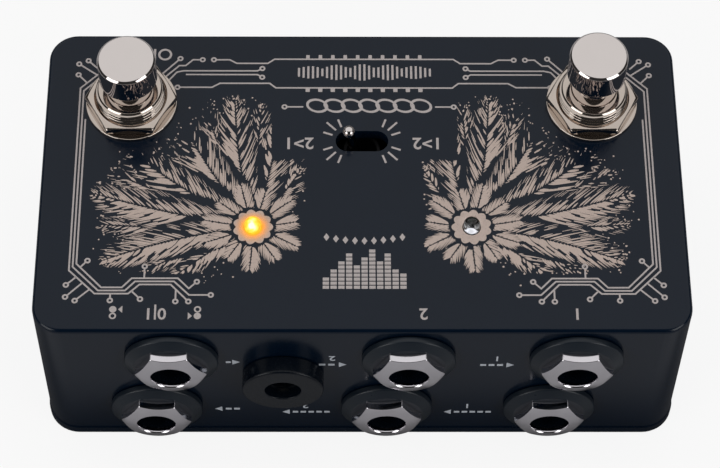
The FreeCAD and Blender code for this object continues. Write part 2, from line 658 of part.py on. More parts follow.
def make_jack_washer(name, x, row):
    """Black ring: a flat rim with a cone up to the nut."""
    seat = seat_out(row, "washer_diameter / 2")
    at = {"x": x, "z": row, **FACING_FRONT}
    rim = cylinder(f"{name}_washer_rim", "washer_diameter", "washer_rim", y=f"-front_inside - ({seat})", **at)
    crown = cone(f"{name}_washer_crown", "washer_diameter", "washer_crown", "washer_height - washer_rim",
                 y=f"-front_inside - ({seat}) - washer_rim", **at)
    hole = cylinder(f"{name}_washer_hole", "jack_bushing + 2 * washer_gap", "washer_height + 2 * cut_over",
                    y=f"-front_inside - ({seat}) + cut_over", **at)
    return cut(f"{name}_washer", fuse(f"{name}_washer_blank", rim, crown), hole)


def make_jack_nut(name, x, row):
    """Hex nut with turned corners, a bevelled face and a closed front."""
    seat = seat_out(row, "washer_diameter / 2")
    back = f"-front_inside - ({seat}) - washer_height"
    at = {"x": x, "z": row, **FACING_FRONT}
    hexagon = prism(f"{name}_nut_hexagon", "nut_flats", "nut_height", y=back, **at)
    facing = FreeCAD.Rotation(FreeCAD.Vector(1, 0, 0), 90)
    turn = FreeCAD.Rotation(FreeCAD.Vector(0, 0, 1), NUT_TURNS[name])
    hexagon.Placement = FreeCAD.Placement(hexagon.Placement.Base, facing.multiply(turn))
    barrel = cylinder(f"{name}_nut_barrel", "nut_corners", "nut_height - nut_bevel", y=back, **at)
    bevel = cone(f"{name}_nut_bevel", "nut_corners", "nut_face", "nut_bevel",
                 y=f"{back} - nut_height + nut_bevel", **at)
    turned = fuse(f"{name}_nut_turned", barrel, bevel)
    thread = cylinder(f"{name}_nut_thread", "jack_bushing + 2 * nut_gap", "nut_height - nut_front",
                      y=back, **at)
    mouth = cylinder(f"{name}_nut_mouth", "nut_mouth", "nut_height + cut_over", y=back, **at)
    mouth_bevel = cone(f"{name}_nut_mouth_bevel", "nut_mouth", "nut_mouth + 2 * nut_mouth_bevel",
                       "nut_mouth_bevel", y=f"{back} - nut_height + nut_mouth_bevel", **at)
    inside = fuse(f"{name}_nut_inside", thread, mouth, mouth_bevel)
    return cut(f"{name}_nut", common(f"{name}_nut_blank", hexagon, turned), inside)


# Power inlet between the two rows

POWER_SEAT = seat_out("power_z", "power_flange / 2")
POWER_FRONT = f"{POWER_SEAT} + power_flange_depth"


def power_body(name):
    return body(name, x="-power_offset", y="-front_inside", z="power_z", **FACING_FRONT)


def make_power_housing():
    """Flange, threaded barrel and stepped bore, turned about the axis."""
    housing = power_body("power_inlet_housing")
    profile = sketch(housing, "inlet_profile", plane="XZ_Plane")
    bore_floor = f"{POWER_FRONT} - power_bore_depth"
    step = f"{POWER_FRONT} - power_mouth_depth"
    add_polygon(profile, [
        ("power_pin / 2 + press_gap", "-power_barrel_depth"),
        ("power_barrel / 2", "-power_barrel_depth"),
        ("power_barrel / 2", POWER_SEAT),
        ("power_flange / 2", POWER_SEAT),
        ("power_flange / 2", f"{POWER_FRONT} - power_edge_round"),
        ("power_flange / 2 - power_edge_round", POWER_FRONT),
        ("power_mouth / 2", POWER_FRONT),
        ("power_mouth / 2", step),
        ("power_bore / 2", step),
        ("power_bore / 2", bore_floor),
        ("power_pin / 2 + press_gap", bore_floor),
    ])
    revolve(housing, "inlet_turned", profile)
    bay = sketch(housing, "inlet_bay_outline", plane="YZ_Plane", offset=f"-{BAY_HALF}")
    low = "-power_spring_seat - contact_sheet - contact_gap"
    high = "2 * contact_gap - power_bore / 2"
    add_block(bay, low, "-power_barrel_depth", high, f"{bore_floor} + contact_width")
    pocket(housing, "inlet_bay", bay, f"2 * {BAY_HALF}", back=True)
    return housing


def make_power_pin():
    """Centre pin with a bevelled tip and a tail out of the back."""
    pin = power_body("power_inlet_pin")
    profile = sketch(pin, "pin_profile", plane="XZ_Plane")
    tip = f"{POWER_FRONT} - power_pin_back"
    end = "-power_barrel_depth - power_tail"
    add_polygon(profile, [
        ("0", end),
        ("power_pin / 2", end),
        ("power_pin / 2", f"{tip} - power_pin_bevel"),
        ("power_pin / 2 - power_pin_bevel", tip),
        ("0", tip),
    ])
    revolve(pin, "pin_turned", profile)
    return pin


def make_power_spring():
    """Strip at the side of the bore, with a tail out of the back."""
    spring = power_body("power_inlet_spring")
    profile = sketch(spring, "side_spring_profile", plane="YZ_Plane", offset="-contact_width / 2")
    add_block(profile, "-power_spring_seat - contact_sheet", "-power_barrel_depth - power_tail",
              "-power_spring_seat", f"{POWER_FRONT} - power_bore_depth + contact_width - contact_gap")
    pad(spring, "side_spring_strip", profile, "contact_width")
    return spring


def make_power_nut():
    at = {"x": "-power_offset", "y": "power_nut_height - front_inside", "z": "power_z", **FACING_FRONT}
    hexagon = prism("power_nut_hexagon", "power_nut_flats", "power_nut_height", **at)
    hole = cylinder("power_nut_hole", "power_barrel + 2 * nut_gap", "power_nut_height", **at)
    return cut("power_inlet_nut", hexagon, hole)


# Footswitches

SIDES = {"left": -1, "right": 1}


def switch_spot(side):
    return {"x": f"{SIDES[side]} * switch_x", "y": "switch_y"}


def make_switch_frame(side):
    """Metal bushing and the upper half of the body, hollow for the plunger's foot."""
    frame = body(f"footswitch_{side}_frame", z="switch_frame_top", **switch_spot(side))
    outline = sketch(frame, f"{side}_frame_outline")
    add_rounded_block(outline, "switch_body", "switch_body", "switch_body_round")
    pad(frame, f"{side}_frame_block", outline, "switch_frame_height", back=True)
    circle = sketch(frame, f"{side}_bushing_circle")
    add_circle(circle, "0", "0", "switch_bushing")
    bushing = pad(frame, f"{side}_bushing", circle, "switch_bushing_length")
    top = value("switch_bushing_length")
    soften(frame, f"{side}_bushing_bevel", "Chamfer", bushing, lambda p: abs(p.z - top) < NEAR, "Size",
           "switch_bushing_bevel")
    stem = sketch(frame, f"{side}_stem_hole_circle", offset="switch_bushing_length")
    add_circle(stem, "0", "0", "plunger_stem + 2 * plunger_gap")
    pocket(frame, f"{side}_stem_hole", stem, "switch_bushing_length + switch_frame_height")
    hollow = sketch(frame, f"{side}_frame_hollow_circle", offset="-switch_frame_height")
    add_circle(hollow, "0", "0", "switch_hollow")
    pocket(frame, f"{side}_frame_hollow", hollow, "switch_frame_height - switch_frame_roof", back=True)
    return frame


def make_switch_base(side):
    """Plastic lower half of the body, a cup for the return spring."""
    base = body(f"footswitch_{side}_base", z="switch_base_under", **switch_spot(side))
    outline = sketch(base, f"{side}_base_outline")
    add_rounded_block(outline, "switch_body", "switch_body", "switch_body_round")
    pad(base, f"{side}_base_block", outline, "switch_base_height")
    hollow = sketch(base, f"{side}_base_hollow_circle", offset="switch_base_height")
    add_circle(hollow, "0", "0", "switch_hollow")
    pocket(base, f"{side}_base_hollow", hollow, "switch_base_height - switch_base_floor")
    return base


def plunger_drop(side):
    return "latched_drop" if side == "left" else "0"


def make_plunger(side):
    """Turned cap and stem with a foot; the left one stands at its latched height."""
    plunger = body(f"footswitch_{side}_plunger", z=f"switch_bushing_top - ({plunger_drop(side)})",
                   **switch_spot(side))
    profile = sketch(plunger, f"{side}_plunger_profile", plane="XZ_Plane")
    foot_top = "-switch_bushing_length - switch_frame_roof"
    cap_top = "plunger_rise + plunger_cap_height"
    edge = "plunger_cap / 2 - plunger_cap_round"
    add_polygon(profile, [
        ("0", f"{foot_top} - plunger_foot_height"),
        ("plunger_foot / 2", f"{foot_top} - plunger_foot_height"),
        ("plunger_foot / 2", foot_top),
        ("plunger_stem / 2", foot_top),
        ("plunger_stem / 2", "plunger_rise"),
        (edge, "plunger_rise"),
        ("plunger_cap / 2", "plunger_rise + plunger_cap_round"),
        ("plunger_cap / 2", f"{cap_top} - plunger_cap_round"),
        (edge, cap_top),
        ("0", cap_top),
    ])
    revolve(plunger, f"{side}_plunger_turned", profile)
    return plunger


def make_spring(side):
    """Helical return spring between the cup's floor and the plunger's foot."""
    floor = "switch_base_under + switch_base_floor"
    foot = f"switch_frame_top - switch_frame_roof - plunger_foot_height - ({plunger_drop(side)})"
    spring = body(f"footswitch_{side}_spring", z=floor, **switch_spot(side))
    wire = sketch(spring, f"{side}_wire_circle", plane="XZ_Plane")
    add_circle(wire, "spring_diameter / 2", "spring_wire / 2 + spring_gap", "spring_wire")
    coil = feature(spring, "AdditiveHelix", f"{side}_coil", wire)
    coil.ReferenceAxis = (wire, ["V_Axis"])
    coil.Mode = 0
    bind(coil, "Pitch", "spring_pitch")
    bind(coil, "Height", f"{foot} - ({floor}) - spring_wire - 2 * spring_gap")
    return spring


def make_lugs(side):
    """Nine solder lugs under a footswitch."""
    spot = switch_spot(side)
    lugs = []
    for column in (-1, 0, 1):
        for line in (-1, 0, 1):
            lugs.append(box(f"{side}_lug_{column + 2}{line + 2}", "lug_width", "lug_sheet", "lug_length",
                            x=f"{spot['x']} + {column} * lug_pitch_x", y=f"switch_y + {line} * lug_pitch_y",
                            z="lug_board_top"))
    return group(f"footswitch_{side}_lugs", lugs)


def make_lug_board(side):
    board = body(f"footswitch_{side}_board", z="lug_board_top - board_thickness", **switch_spot(side))
    outline = sketch(board, f"{side}_lug_board_outline")
    add_rounded_block(outline, "switch_body", "switch_body", "switch_body_round")
    pad(board, f"{side}_lug_board", outline, "board_thickness")
    return board


def make_ribbon(side):
    """Flat cable from the lug board up to the underside of the main board."""
    sign = SIDES[side]
    ribbon = body(f"ribbon_cable_{side}", y="switch_y", z="lug_board_top")
    profile = sketch(ribbon, f"{side}_ribbon_profile", plane="XZ_Plane", offset="-ribbon_width / 2")
    outer = f"{sign} * (switch_x - switch_body / 2 + ribbon_overlap)"
    inner = f"{sign} * (board_middle_edge - ribbon_inset - ribbon_sheet)"
    bend = f"{sign} * (board_middle_edge - ribbon_inset)"
    rise = "board_under - lug_board_top"
    add_polygon(profile, [(inner, "0"), (outer, "0"), (outer, "ribbon_sheet"), (bend, "ribbon_sheet"),
                          (bend, rise), (inner, rise)])
    pad(ribbon, f"{side}_ribbon", profile, "ribbon_width")
    return ribbon


def make_hex_nut(name, x, y, z, flats, height, face, bevel, bore):
    """Flat hex nut with bevelled corners on both faces."""
    at = {"x": x, "y": y}
    corners = f"{flats} * 2 / sqrt(3)"
    hexagon = prism(f"{name}_hexagon", flats, height, z=z, **at)
    lower = cone(f"{name}_lower_bevel", face, corners, bevel, z=z, **at)
    middle = cylinder(f"{name}_middle", corners, f"{height} - 2 * {bevel}", z=f"{z} + {bevel}", **at)
    upper = cone(f"{name}_upper_bevel", corners, face, bevel, z=f"{z} + {height} - {bevel}", **at)
    turned = fuse(f"{name}_turned", lower, middle, upper)
    hole = cylinder(f"{name}_hole", bore, height, z=z, **at)
    return cut(name, common(f"{name}_blank", hexagon, turned), hole)


def make_switch_hardware():
    """Washers and nuts above and below the panel, one group for each kind."""
    washers, nuts, lock_washers, lock_nuts = [], [], [], []
    bore = "switch_bushing + 2 * top_nut_gap"
    for side in SIDES:
        spot = switch_spot(side)
        disc = cylinder(f"{side}_top_washer_disc", "top_washer_diameter", "top_washer_height",
                        z="panel_top", **spot)
        hole = cylinder(f"{side}_top_washer_hole", "switch_bushing + 2 * washer_gap", "top_washer_height",
                        z="panel_top", **spot)
        washers.append(cut(f"{side}_top_washer", disc, hole))
        nuts.append(make_hex_nut(f"{side}_top_nut", spot["x"], spot["y"], "panel_top + top_washer_height",
                                 "top_nut_flats", "top_nut_height", "top_nut_face", "top_nut_bevel", bore))
        lock_z = "roof_under - lock_washer_height"
        ring = cylinder(f"{side}_lock_disc", "lock_washer_diameter", "lock_washer_height", z=lock_z, **spot)
        inside = cylinder(f"{side}_lock_hole", "switch_bushing + 2 * washer_gap", "lock_washer_height",
                          z=lock_z, **spot)
        lock_washers.append(toothed_ring(side, cut(f"{side}_lock_ring", ring, inside), lock_z))
        lock_nuts.append(make_hex_nut(f"{side}_lock_nut", spot["x"], spot["y"], f"{lock_z} - lock_nut_height",
                                      "top_nut_flats", "lock_nut_height", "top_nut_face", "lock_nut_bevel",
                                      bore))
    return [group("footswitch_washers", washers), group("footswitch_nuts", nuts),
            group("footswitch_lock_washers", lock_washers), group("footswitch_lock_nuts", lock_nuts)]


def toothed_ring(side, ring, z):
    """Cut the notches between the teeth out of a lock washer."""
    spot = switch_spot(side)
    notches = []
    for tooth in range(LOCK_TEETH):
        angle = 360 * tooth / LOCK_TEETH
        reach = "(lock_washer_diameter / 2 - lock_tooth_depth)"
        across = f"{math.sin(math.radians(angle)):.6f} * lock_tooth_width / 2"
        along = f"{math.cos(math.radians(angle)):.6f} * lock_tooth_width / 2"
        notch = doc.addObject("Part::Box", f"{side}_notch_{tooth}")
        bind(notch, "Length", "lock_tooth_depth + cut_over")
        bind(notch, "Width", "lock_tooth_width")
        bind(notch, "Height", "lock_washer_height")
        place(notch, x=f"{spot['x']} + {math.cos(math.radians(angle)):.6f} * {reach} + {across}",
              y=f"switch_y + {math.sin(math.radians(angle)):.6f} * {reach} - {along}", z=z, angle=angle)
        notches.append(notch)
    return cut(f"{side}_lock_washer", ring, fuse(f"{side}_notches", *notches))


# Toggle switch under the slot

def make_toggle_body():
    """Plastic body on the main board with a hollow for the lever's hub and tail."""
    case = body("toggle_body", y="toggle_y", z="board_top")
    outline = sketch(case, "toggle_outline")
    add_block(outline, "-toggle_body_width / 2", "-toggle_body_depth / 2", "toggle_body_width / 2",
              "toggle_body_depth / 2")
    pad(case, "toggle_block", outline, "toggle_body_top - board_top")
    hollow = sketch(case, "toggle_hollow_outline", offset="toggle_body_top - board_top")
    add_block(hollow, "-toggle_hollow_width / 2", "-toggle_hollow_depth / 2", "toggle_hollow_width / 2",
              "toggle_hollow_depth / 2")
    pocket(case, "toggle_hollow", hollow, "toggle_body_top - toggle_pivot + toggle_hollow_floor")
    hole = sketch(case, "pivot_hole_circle", plane="XZ_Plane", offset="toggle_body_depth / 2")
    add_circle(hole, "0", "toggle_pivot - board_top", "toggle_pin + 2 * press_gap")
    pocket(case, "pivot_hole", hole, "toggle_body_depth")
    return case


def make_toggle_bushing():
    at = {"y": "toggle_y", "z": "toggle_body_top"}
    height = "roof_under - toggle_bushing_gap - toggle_body_top"
    tube = cylinder("toggle_tube", "toggle_bushing", height, **at)
    bore = cylinder("toggle_bore", "toggle_bushing_bore", height, **at)
    return cut("toggle_bushing", tube, bore)


def make_toggle_pivot_pin():
    return cylinder("toggle_pivot_pin", "toggle_pin", "toggle_body_depth", z="toggle_pivot",
                    y="toggle_y + toggle_body_depth / 2", **FACING_FRONT)


def add_half_disc(owner, height, diameter):
    """Half a disc against the vertical axis, which turns into a ball."""
    middle, r = value(height), value(diameter) / 2
    circle = Part.Circle(FreeCAD.Vector(0, middle, 0), FreeCAD.Vector(0, 0, 1), r)
    arc = owner.addGeometry(Part.ArcOfCircle(circle, -math.pi / 2, math.pi / 2))
    line = owner.addGeometry(Part.LineSegment(owner.getPoint(arc, 2), owner.getPoint(arc, 1)))
    owner.addConstraint(Sketcher.Constraint("Coincident", arc, 2, line, 1))
    owner.addConstraint(Sketcher.Constraint("Coincident", line, 2, arc, 1))
    owner.addConstraint(Sketcher.Constraint("Vertical", line))
    owner.addConstraint(Sketcher.Constraint("PointOnObject", arc, 3, line))
    index = owner.addConstraint(Sketcher.Constraint("Radius", arc, r))
    bind(owner, f"Constraints[{index}]", f"({diameter}) / 2")
    pin_point(owner, arc, 3, "0", height)


def make_toggle_lever():
    """Lever that leans to the left at rest: hub, stem with a round tip, and tail."""
    lean = value("toggle_lean_angle")
    lever = body("toggle_lever", y="toggle_y", z="toggle_pivot", axis=(0, -1, 0), angle=lean)
    bind(lever, "Placement.Rotation.Angle", "toggle_lean_angle")
    profile = sketch(lever, "lever_profile", plane="XZ_Plane")
    add_polygon(profile, [
        ("0", "-toggle_tail"),
        ("toggle_tail_width / 2", "-toggle_tail"),
        ("toggle_tail_width / 2", "0"),
        ("toggle_lever_foot / 2", "0"),
        ("toggle_lever_foot / 2", "toggle_hub"),
        ("toggle_lever_neck / 2", "toggle_lever_length - toggle_tip"),
        ("toggle_lever_neck / 2", "toggle_lever_length"),
        ("0", "toggle_lever_length"),
    ])
    revolve(lever, "lever_stem", profile)
    tip = sketch(lever, "lever_tip_profile", plane="XZ_Plane")
    add_half_disc(tip, "toggle_lever_length", "toggle_tip")
    revolve(lever, "lever_tip", tip)
    hub = sketch(lever, "lever_hub_circle", plane="XZ_Plane", offset="-toggle_hub_width / 2")
    add_circle(hub, "0", "0", "toggle_hub")
    pad(lever, "lever_hub", hub, "toggle_hub_width")
    hole = sketch(lever, "lever_hole_circle", plane="XZ_Plane", offset="toggle_hub_width / 2")
    add_circle(hole, "0", "0", "toggle_pin + 2 * toggle_pin_gap")
    pocket(lever, "lever_hole", hole, "toggle_hub_width")
    return lever


def make_toggle_terminals():
    pins = [box(f"toggle_terminal_{number + 2}", "toggle_terminal_width", "toggle_terminal_sheet",
                "board_thickness + toggle_terminal_reach", x=f"{number} * toggle_terminal_pitch",
                y="toggle_y", z="board_under - toggle_terminal_reach") for number in (-1, 0, 1)]
    return group("toggle_terminals", pins)


# Indicator lamps

def make_lamp(side):
    """Lamp with a flange under the panel and a domed end."""
    lamp = body(f"lamp_{side}", x=f"{SIDES[side]} * lamp_offset", y="lamp_y", z="lamp_under")
    profile = sketch(lamp, f"{side}_lamp_profile", plane="XZ_Plane")
    shoulder = "lamp_height - lamp_diameter / 2"
    add_polygon(profile, [
        ("0", "0"),
        ("lamp_flange / 2", "0"),
        ("lamp_flange / 2", "lamp_flange_height"),
        ("lamp_diameter / 2", "lamp_flange_height"),
        ("lamp_diameter / 2", shoulder),
        ("0", shoulder),
    ])
    revolve(lamp, f"{side}_lamp_turned", profile)
    dome = sketch(lamp, f"{side}_dome_profile", plane="XZ_Plane")
    add_half_disc(dome, shoulder, "lamp_diameter")
    revolve(lamp, f"{side}_dome", dome)
    return lamp


def make_lamp_leads(side):
    leads = [box(f"{side}_lead_{number + 2}", "lead_width", "lead_width", "lamp_under - board_top",
                 x=f"{SIDES[side]} * lamp_offset + {number} * lead_pitch / 2", y="lamp_y", z="board_top")
             for number in (-1, 1)]
    return group(f"lamp_{side}_leads", leads)


# Main board and the parts on it

def make_main_board():
    """Board between the two rows of sockets, narrower between the footswitches, notched for the inlet."""
    board = body("main_board", z="board_under")
    outline = sketch(board, "main_outline")
    side = "inside_width / 2 - board_margin"
    front = "board_front_gap - front_inside"
    notch = "power_nut_flats / sqrt(3) + board_notch_gap"
    notch_back = "power_barrel_depth + power_tail + board_notch_gap - front_inside"
    add_polygon(outline, [
        (f"-({side})", front),
        (f"-power_offset - ({notch})", front),
        (f"-power_offset - ({notch})", notch_back),
        (f"{notch} - power_offset", notch_back),
        (f"{notch} - power_offset", front),
        (side, front),
        (side, "board_wing_back"),
        ("board_middle_edge", "board_wing_back"),
        ("board_middle_edge", "board_back"),
        ("-board_middle_edge", "board_back"),
        ("-board_middle_edge", "board_wing_back"),
        (f"-({side})", "board_wing_back"),
    ])
    pad(board, "main_blank", outline, "board_thickness")
    holes = sketch(board, "terminal_hole_circles", offset="board_thickness")
    for number in (-1, 0, 1):
        add_circle(holes, f"{number} * toggle_terminal_pitch", "toggle_y", "toggle_terminal_hole")
    pocket(board, "terminal_holes", holes, "board_thickness")
    return board


def lying_part(name, diameter, length, x, y):
    """A round part that lies along X on two bent leads."""
    round_body = cylinder(f"{name}_round", diameter, length, x=f"({x}) - ({length}) / 2", y=y,
                          z="part_height", axis=(0, 1, 0), angle=90)
    wire = box(f"{name}_wire", f"{length} + 2 * lead_reach", "lead_width", "lead_width", x=x, y=y,
               z="part_height - lead_width / 2")
    legs = [box(f"{name}_leg_{number + 2}", "lead_width", "lead_width", "part_lift", z="board_top", y=y,
                x=f"({x}) + {number} * (({length}) / 2 + lead_reach - lead_width / 2)") for number in (-1, 1)]
    return fuse(name, round_body, wire, *legs)


def make_resistors():
    rows = [lying_part(f"resistor_{side}_{number}", "resistor_diameter", "resistor_length",
                       f"{sign} * resistor_column", f"part_row - {number} * resistor_step")
            for side, sign in SIDES.items() for number in (0, 1)]
    return group("resistors", rows)


def make_capacitor():
    return cylinder("filter_capacitor", "capacitor_diameter", "capacitor_height", x="-capacitor_column",
                    y="part_row", z="board_top")


def make_everything():
    pieces = [make_enclosure(), make_cover(), make_cover_screws()]
    for name, (x, row) in SOCKETS.items():
        pieces += make_jack(name, x, row)
    pieces.append(group("jack_washers", [make_jack_washer(name, *spot) for name, spot in SOCKETS.items()]))
    pieces.append(group("jack_nuts", [make_jack_nut(name, *spot) for name, spot in SOCKETS.items()]))
    pieces += [make_power_housing(), make_power_pin(), make_power_spring(), make_power_nut()]
    for side in SIDES:
        pieces += [make_switch_frame(side), make_switch_base(side), make_plunger(side), make_spring(side),
                   make_lugs(side), make_lug_board(side), make_ribbon(side)]
    pieces += make_switch_hardware()
    pieces += [make_toggle_body(), make_toggle_bushing(), make_toggle_pivot_pin(), make_toggle_lever(),
               make_toggle_terminals()]
    for side in SIDES:
        pieces += [make_lamp(side), make_lamp_leads(side)]
    pieces += [make_main_board(), make_resistors(), make_capacitor()]
    pieces.append(lying_part("polarity_diode", "diode_diameter", "diode_length", "diode_column", "part_row"))
    return pieces


def check_document():
    """Stop if any object of the document failed to build."""
    for thing in doc.Objects:
        if "Invalid" in thing.State or "Error" in thing.State:
            raise RuntimeError(f"{thing.Name} failed: {thing.State}")


def write(pieces):
    os.makedirs("parts", exist_ok=True)
    for thing in pieces:
        shape = thing.Shape
        if shape.isNull() or not shape.isValid() or not shape.Solids:
            raise RuntimeError(f"{thing.Label} has no valid solid")
        shape.exportStep(f"parts/{thing.Label}.step")
        print(f"{thing.Label}: {len(shape.Solids)} solids, {shape.Volume:.2f} mm3")


subparts = make_everything()
doc.recompute()
check_document()
write(subparts)
print(f"{len(subparts)} nodes, {sum(len(thing.Shape.Solids) for thing in subparts)} solids")
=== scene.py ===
import json
import math
import random

import bmesh
import bpy
from bpy.props import FloatProperty, FloatVectorProperty, IntProperty, PointerProperty
from mathutils import Matrix, Vector


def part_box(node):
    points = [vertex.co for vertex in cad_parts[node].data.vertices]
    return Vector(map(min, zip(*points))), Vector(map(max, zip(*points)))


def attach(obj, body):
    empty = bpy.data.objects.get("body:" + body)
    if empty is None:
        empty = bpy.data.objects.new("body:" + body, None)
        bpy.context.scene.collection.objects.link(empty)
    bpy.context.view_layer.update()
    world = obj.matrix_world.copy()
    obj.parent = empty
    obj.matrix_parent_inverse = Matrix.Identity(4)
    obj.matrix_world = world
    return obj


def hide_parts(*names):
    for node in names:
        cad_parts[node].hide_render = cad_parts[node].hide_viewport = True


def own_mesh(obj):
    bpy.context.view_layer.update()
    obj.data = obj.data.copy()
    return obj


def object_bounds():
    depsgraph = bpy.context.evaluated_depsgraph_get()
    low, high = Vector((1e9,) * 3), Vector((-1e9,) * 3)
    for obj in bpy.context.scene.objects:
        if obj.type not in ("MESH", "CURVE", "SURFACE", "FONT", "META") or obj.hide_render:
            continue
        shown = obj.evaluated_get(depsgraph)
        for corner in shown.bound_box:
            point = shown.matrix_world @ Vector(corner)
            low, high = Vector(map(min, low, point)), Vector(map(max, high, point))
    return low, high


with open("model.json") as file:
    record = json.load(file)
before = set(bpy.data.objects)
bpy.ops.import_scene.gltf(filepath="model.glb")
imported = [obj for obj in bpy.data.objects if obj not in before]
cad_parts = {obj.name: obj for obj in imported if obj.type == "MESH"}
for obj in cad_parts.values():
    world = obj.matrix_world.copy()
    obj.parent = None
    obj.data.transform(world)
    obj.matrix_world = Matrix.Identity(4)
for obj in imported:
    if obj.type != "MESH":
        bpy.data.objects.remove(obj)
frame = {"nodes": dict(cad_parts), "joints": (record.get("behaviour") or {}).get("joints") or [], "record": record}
CAD_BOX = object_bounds()

bl_info = {
    "name": "Loop Switcher Pedal",
    "version": (1, 0, 0),
    "blender": (4, 5, 0),
    "location": "View3D > Sidebar > Pedal",
    "description": "Dresses the packed pedal with print, turned hardware, finishes and a studio",
    "category": "Object",
}

MM = 0.001
SIDES = {"left": -1, "right": 1}
PRINT_SHIFT = 0.42  # how far the print sits to the right of the box's middle, in millimetres


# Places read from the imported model

def middle(node):
    low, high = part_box(node)
    return (low + high) / 2


def foot_and_height(node):
    """Where a node's foot stands, in metres, and how tall it is, in millimetres."""
    low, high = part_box(node)
    return low.z, (high.z - low.z) / MM


def box_near(node, x, z, radius):
    """Low and high corner of those points of a CAD node that lie near a line along Y, in metres."""
    near = [v.co for v in frame["nodes"][node].data.vertices
            if math.hypot(v.co.x - x, v.co.z - z) < radius]
    return [Vector([pick(p[i] for p in near) for i in range(3)]) for pick in (min, max)]


PANEL_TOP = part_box("enclosure_body")[1].z
MOUNTS = {mount["name"]: Vector(mount["pos_m"]) for mount in frame["record"]["mounts"]}
SOCKETS = {name: MOUNTS[f"{name}_socket"] for name in ("input", "output", "send_b", "return_b", "send_a", "return_a")}
NUT_TURNS = {"input": 1.0, "output": -4.0, "send_b": 3.0, "return_b": 5.0, "send_a": -2.0, "return_a": 2.0}
SWITCHES = {side: middle(f"footswitch_{side}_frame") for side in SIDES}
LAMPS = {side: middle(f"lamp_{side}") for side in SIDES}
PIVOT = Vector(next(j["pos_m"] for j in frame["joints"] if j["name"] == "toggle_flip"))


def wall_line():
    """Heights and Y of two points of the front wall, low and high, from the shell's own points."""
    far_up = 30 * MM
    points = [v.co for v in frame["nodes"]["enclosure_body"].data.vertices]
    foot = min(points, key=lambda p: (round(p.y, 6), p.z))
    high = min((p for p in points if p.z > foot.z + far_up), key=lambda p: p.y)
    return foot.z, foot.y, high.z, high.y


WALL = wall_line()


def on_panel(u, v, lift):
    """Point of the top panel from millimetres along it and above it."""
    return Vector((u * MM, v * MM, PANEL_TOP + lift * MM))


def on_wall(u, v, lift):
    """Point of the front wall from millimetres along it, up it and out of it."""
    low_z, low_y, high_z, high_y = WALL
    rise = (v * MM - low_z) / (high_z - low_z)
    return Vector((u * MM, low_y + (high_y - low_y) * rise - lift * MM, v * MM))


# Sizes and colours that a user would change

def kind_of_value(make, **settings):
    """A function that makes properties of one kind from a name, a description and a default."""
    return lambda name, description, default: make(name=name, description=description, default=default, **settings)


colour = kind_of_value(FloatVectorProperty, subtype="COLOR", size=3, min=0, max=1)
share = kind_of_value(FloatProperty, subtype="FACTOR", min=0, max=1)
length = kind_of_value(FloatProperty, subtype="DISTANCE", unit="LENGTH", min=0)
strength = kind_of_value(FloatProperty, min=0)
tilt = kind_of_value(FloatProperty, subtype="ANGLE", unit="ROTATION")


class PedalFinish(bpy.types.PropertyGroup):
    """Colours and roughness of the case, the hardware and the print"""
    coat: colour("Coat", "Colour of the powder coat on the box", (0.0012, 0.0060, 0.0155))
    coat_roughness: share("Coat roughness", "Roughness of the powder coat", 0.19)
    ink: colour("Ink", "Colour of the print on the panel", (0.65, 0.52, 0.455))
    lines: colour("Lines", "Colour of the fine lines and figures on the panel", (0.57, 0.51, 0.495))
    label: colour("Label", "Colour of the print beside the sockets", (0.66, 0.70, 0.76))
    nickel: colour("Nickel", "Colour of the footswitch nuts, washers and bushings", (0.66, 0.575, 0.51))
    chrome: colour("Chrome", "Colour of the footswitch caps and the toggle lever", (0.79, 0.73, 0.705))
    plating: colour("Plating", "Colour of the socket nuts", (0.85, 0.82, 0.86))
    nylon: colour("Nylon", "Colour of the black plastic washers and sockets", (0.0012, 0.0028, 0.0058))


class PedalHardware(bpy.types.PropertyGroup):
    """Fine sizes of the turned hardware"""
    edge: length("Edge", "Softness of the turned edges", 0.00008)
    thread_pitch: length("Thread pitch", "Distance between the turns of a footswitch thread", 0.00075)
    thread_depth: length("Thread depth", "Depth of a footswitch thread", 0.0004)
    cap_round: length("Cap rounding", "Rounding of the edges of a footswitch cap", 0.0004)
    spring_wire: length("Spring wire", "Thickness of the wire of a return spring", 0.0007)
    spring_pitch: length("Spring pitch", "Distance between the turns of a return spring", 0.0024)


class PedalPrint(bpy.types.PropertyGroup):
    """Line sizes and the seed of the printed decoration"""
    line: length("Line", "Width of the printed lines", 0.00029)
    pad: length("Pad", "Outer radius of the rings that end a line", 0.00054)
    shift: length("Shift", "How far the print sits to the right of the box's middle", PRINT_SHIFT * MM)
    ink_height: length("Ink height", "Height of the ink above the coat", 0.00002)
    seed: IntProperty(name="Seed", description="Start of the random draws for the leaf strokes", default=11)


class PedalLamps(bpy.types.PropertyGroup):
    """Colour and strength of the lit lamp"""
    glow: colour("Glow", "Colour of the lit lamp", (1.0, 0.42, 0.03))
    core: strength("Core", "Strength of the lit lamp's core", 1.0)
    spill: strength("Spill", "Strength of the light on the panel round the lit lamp", 0.75)


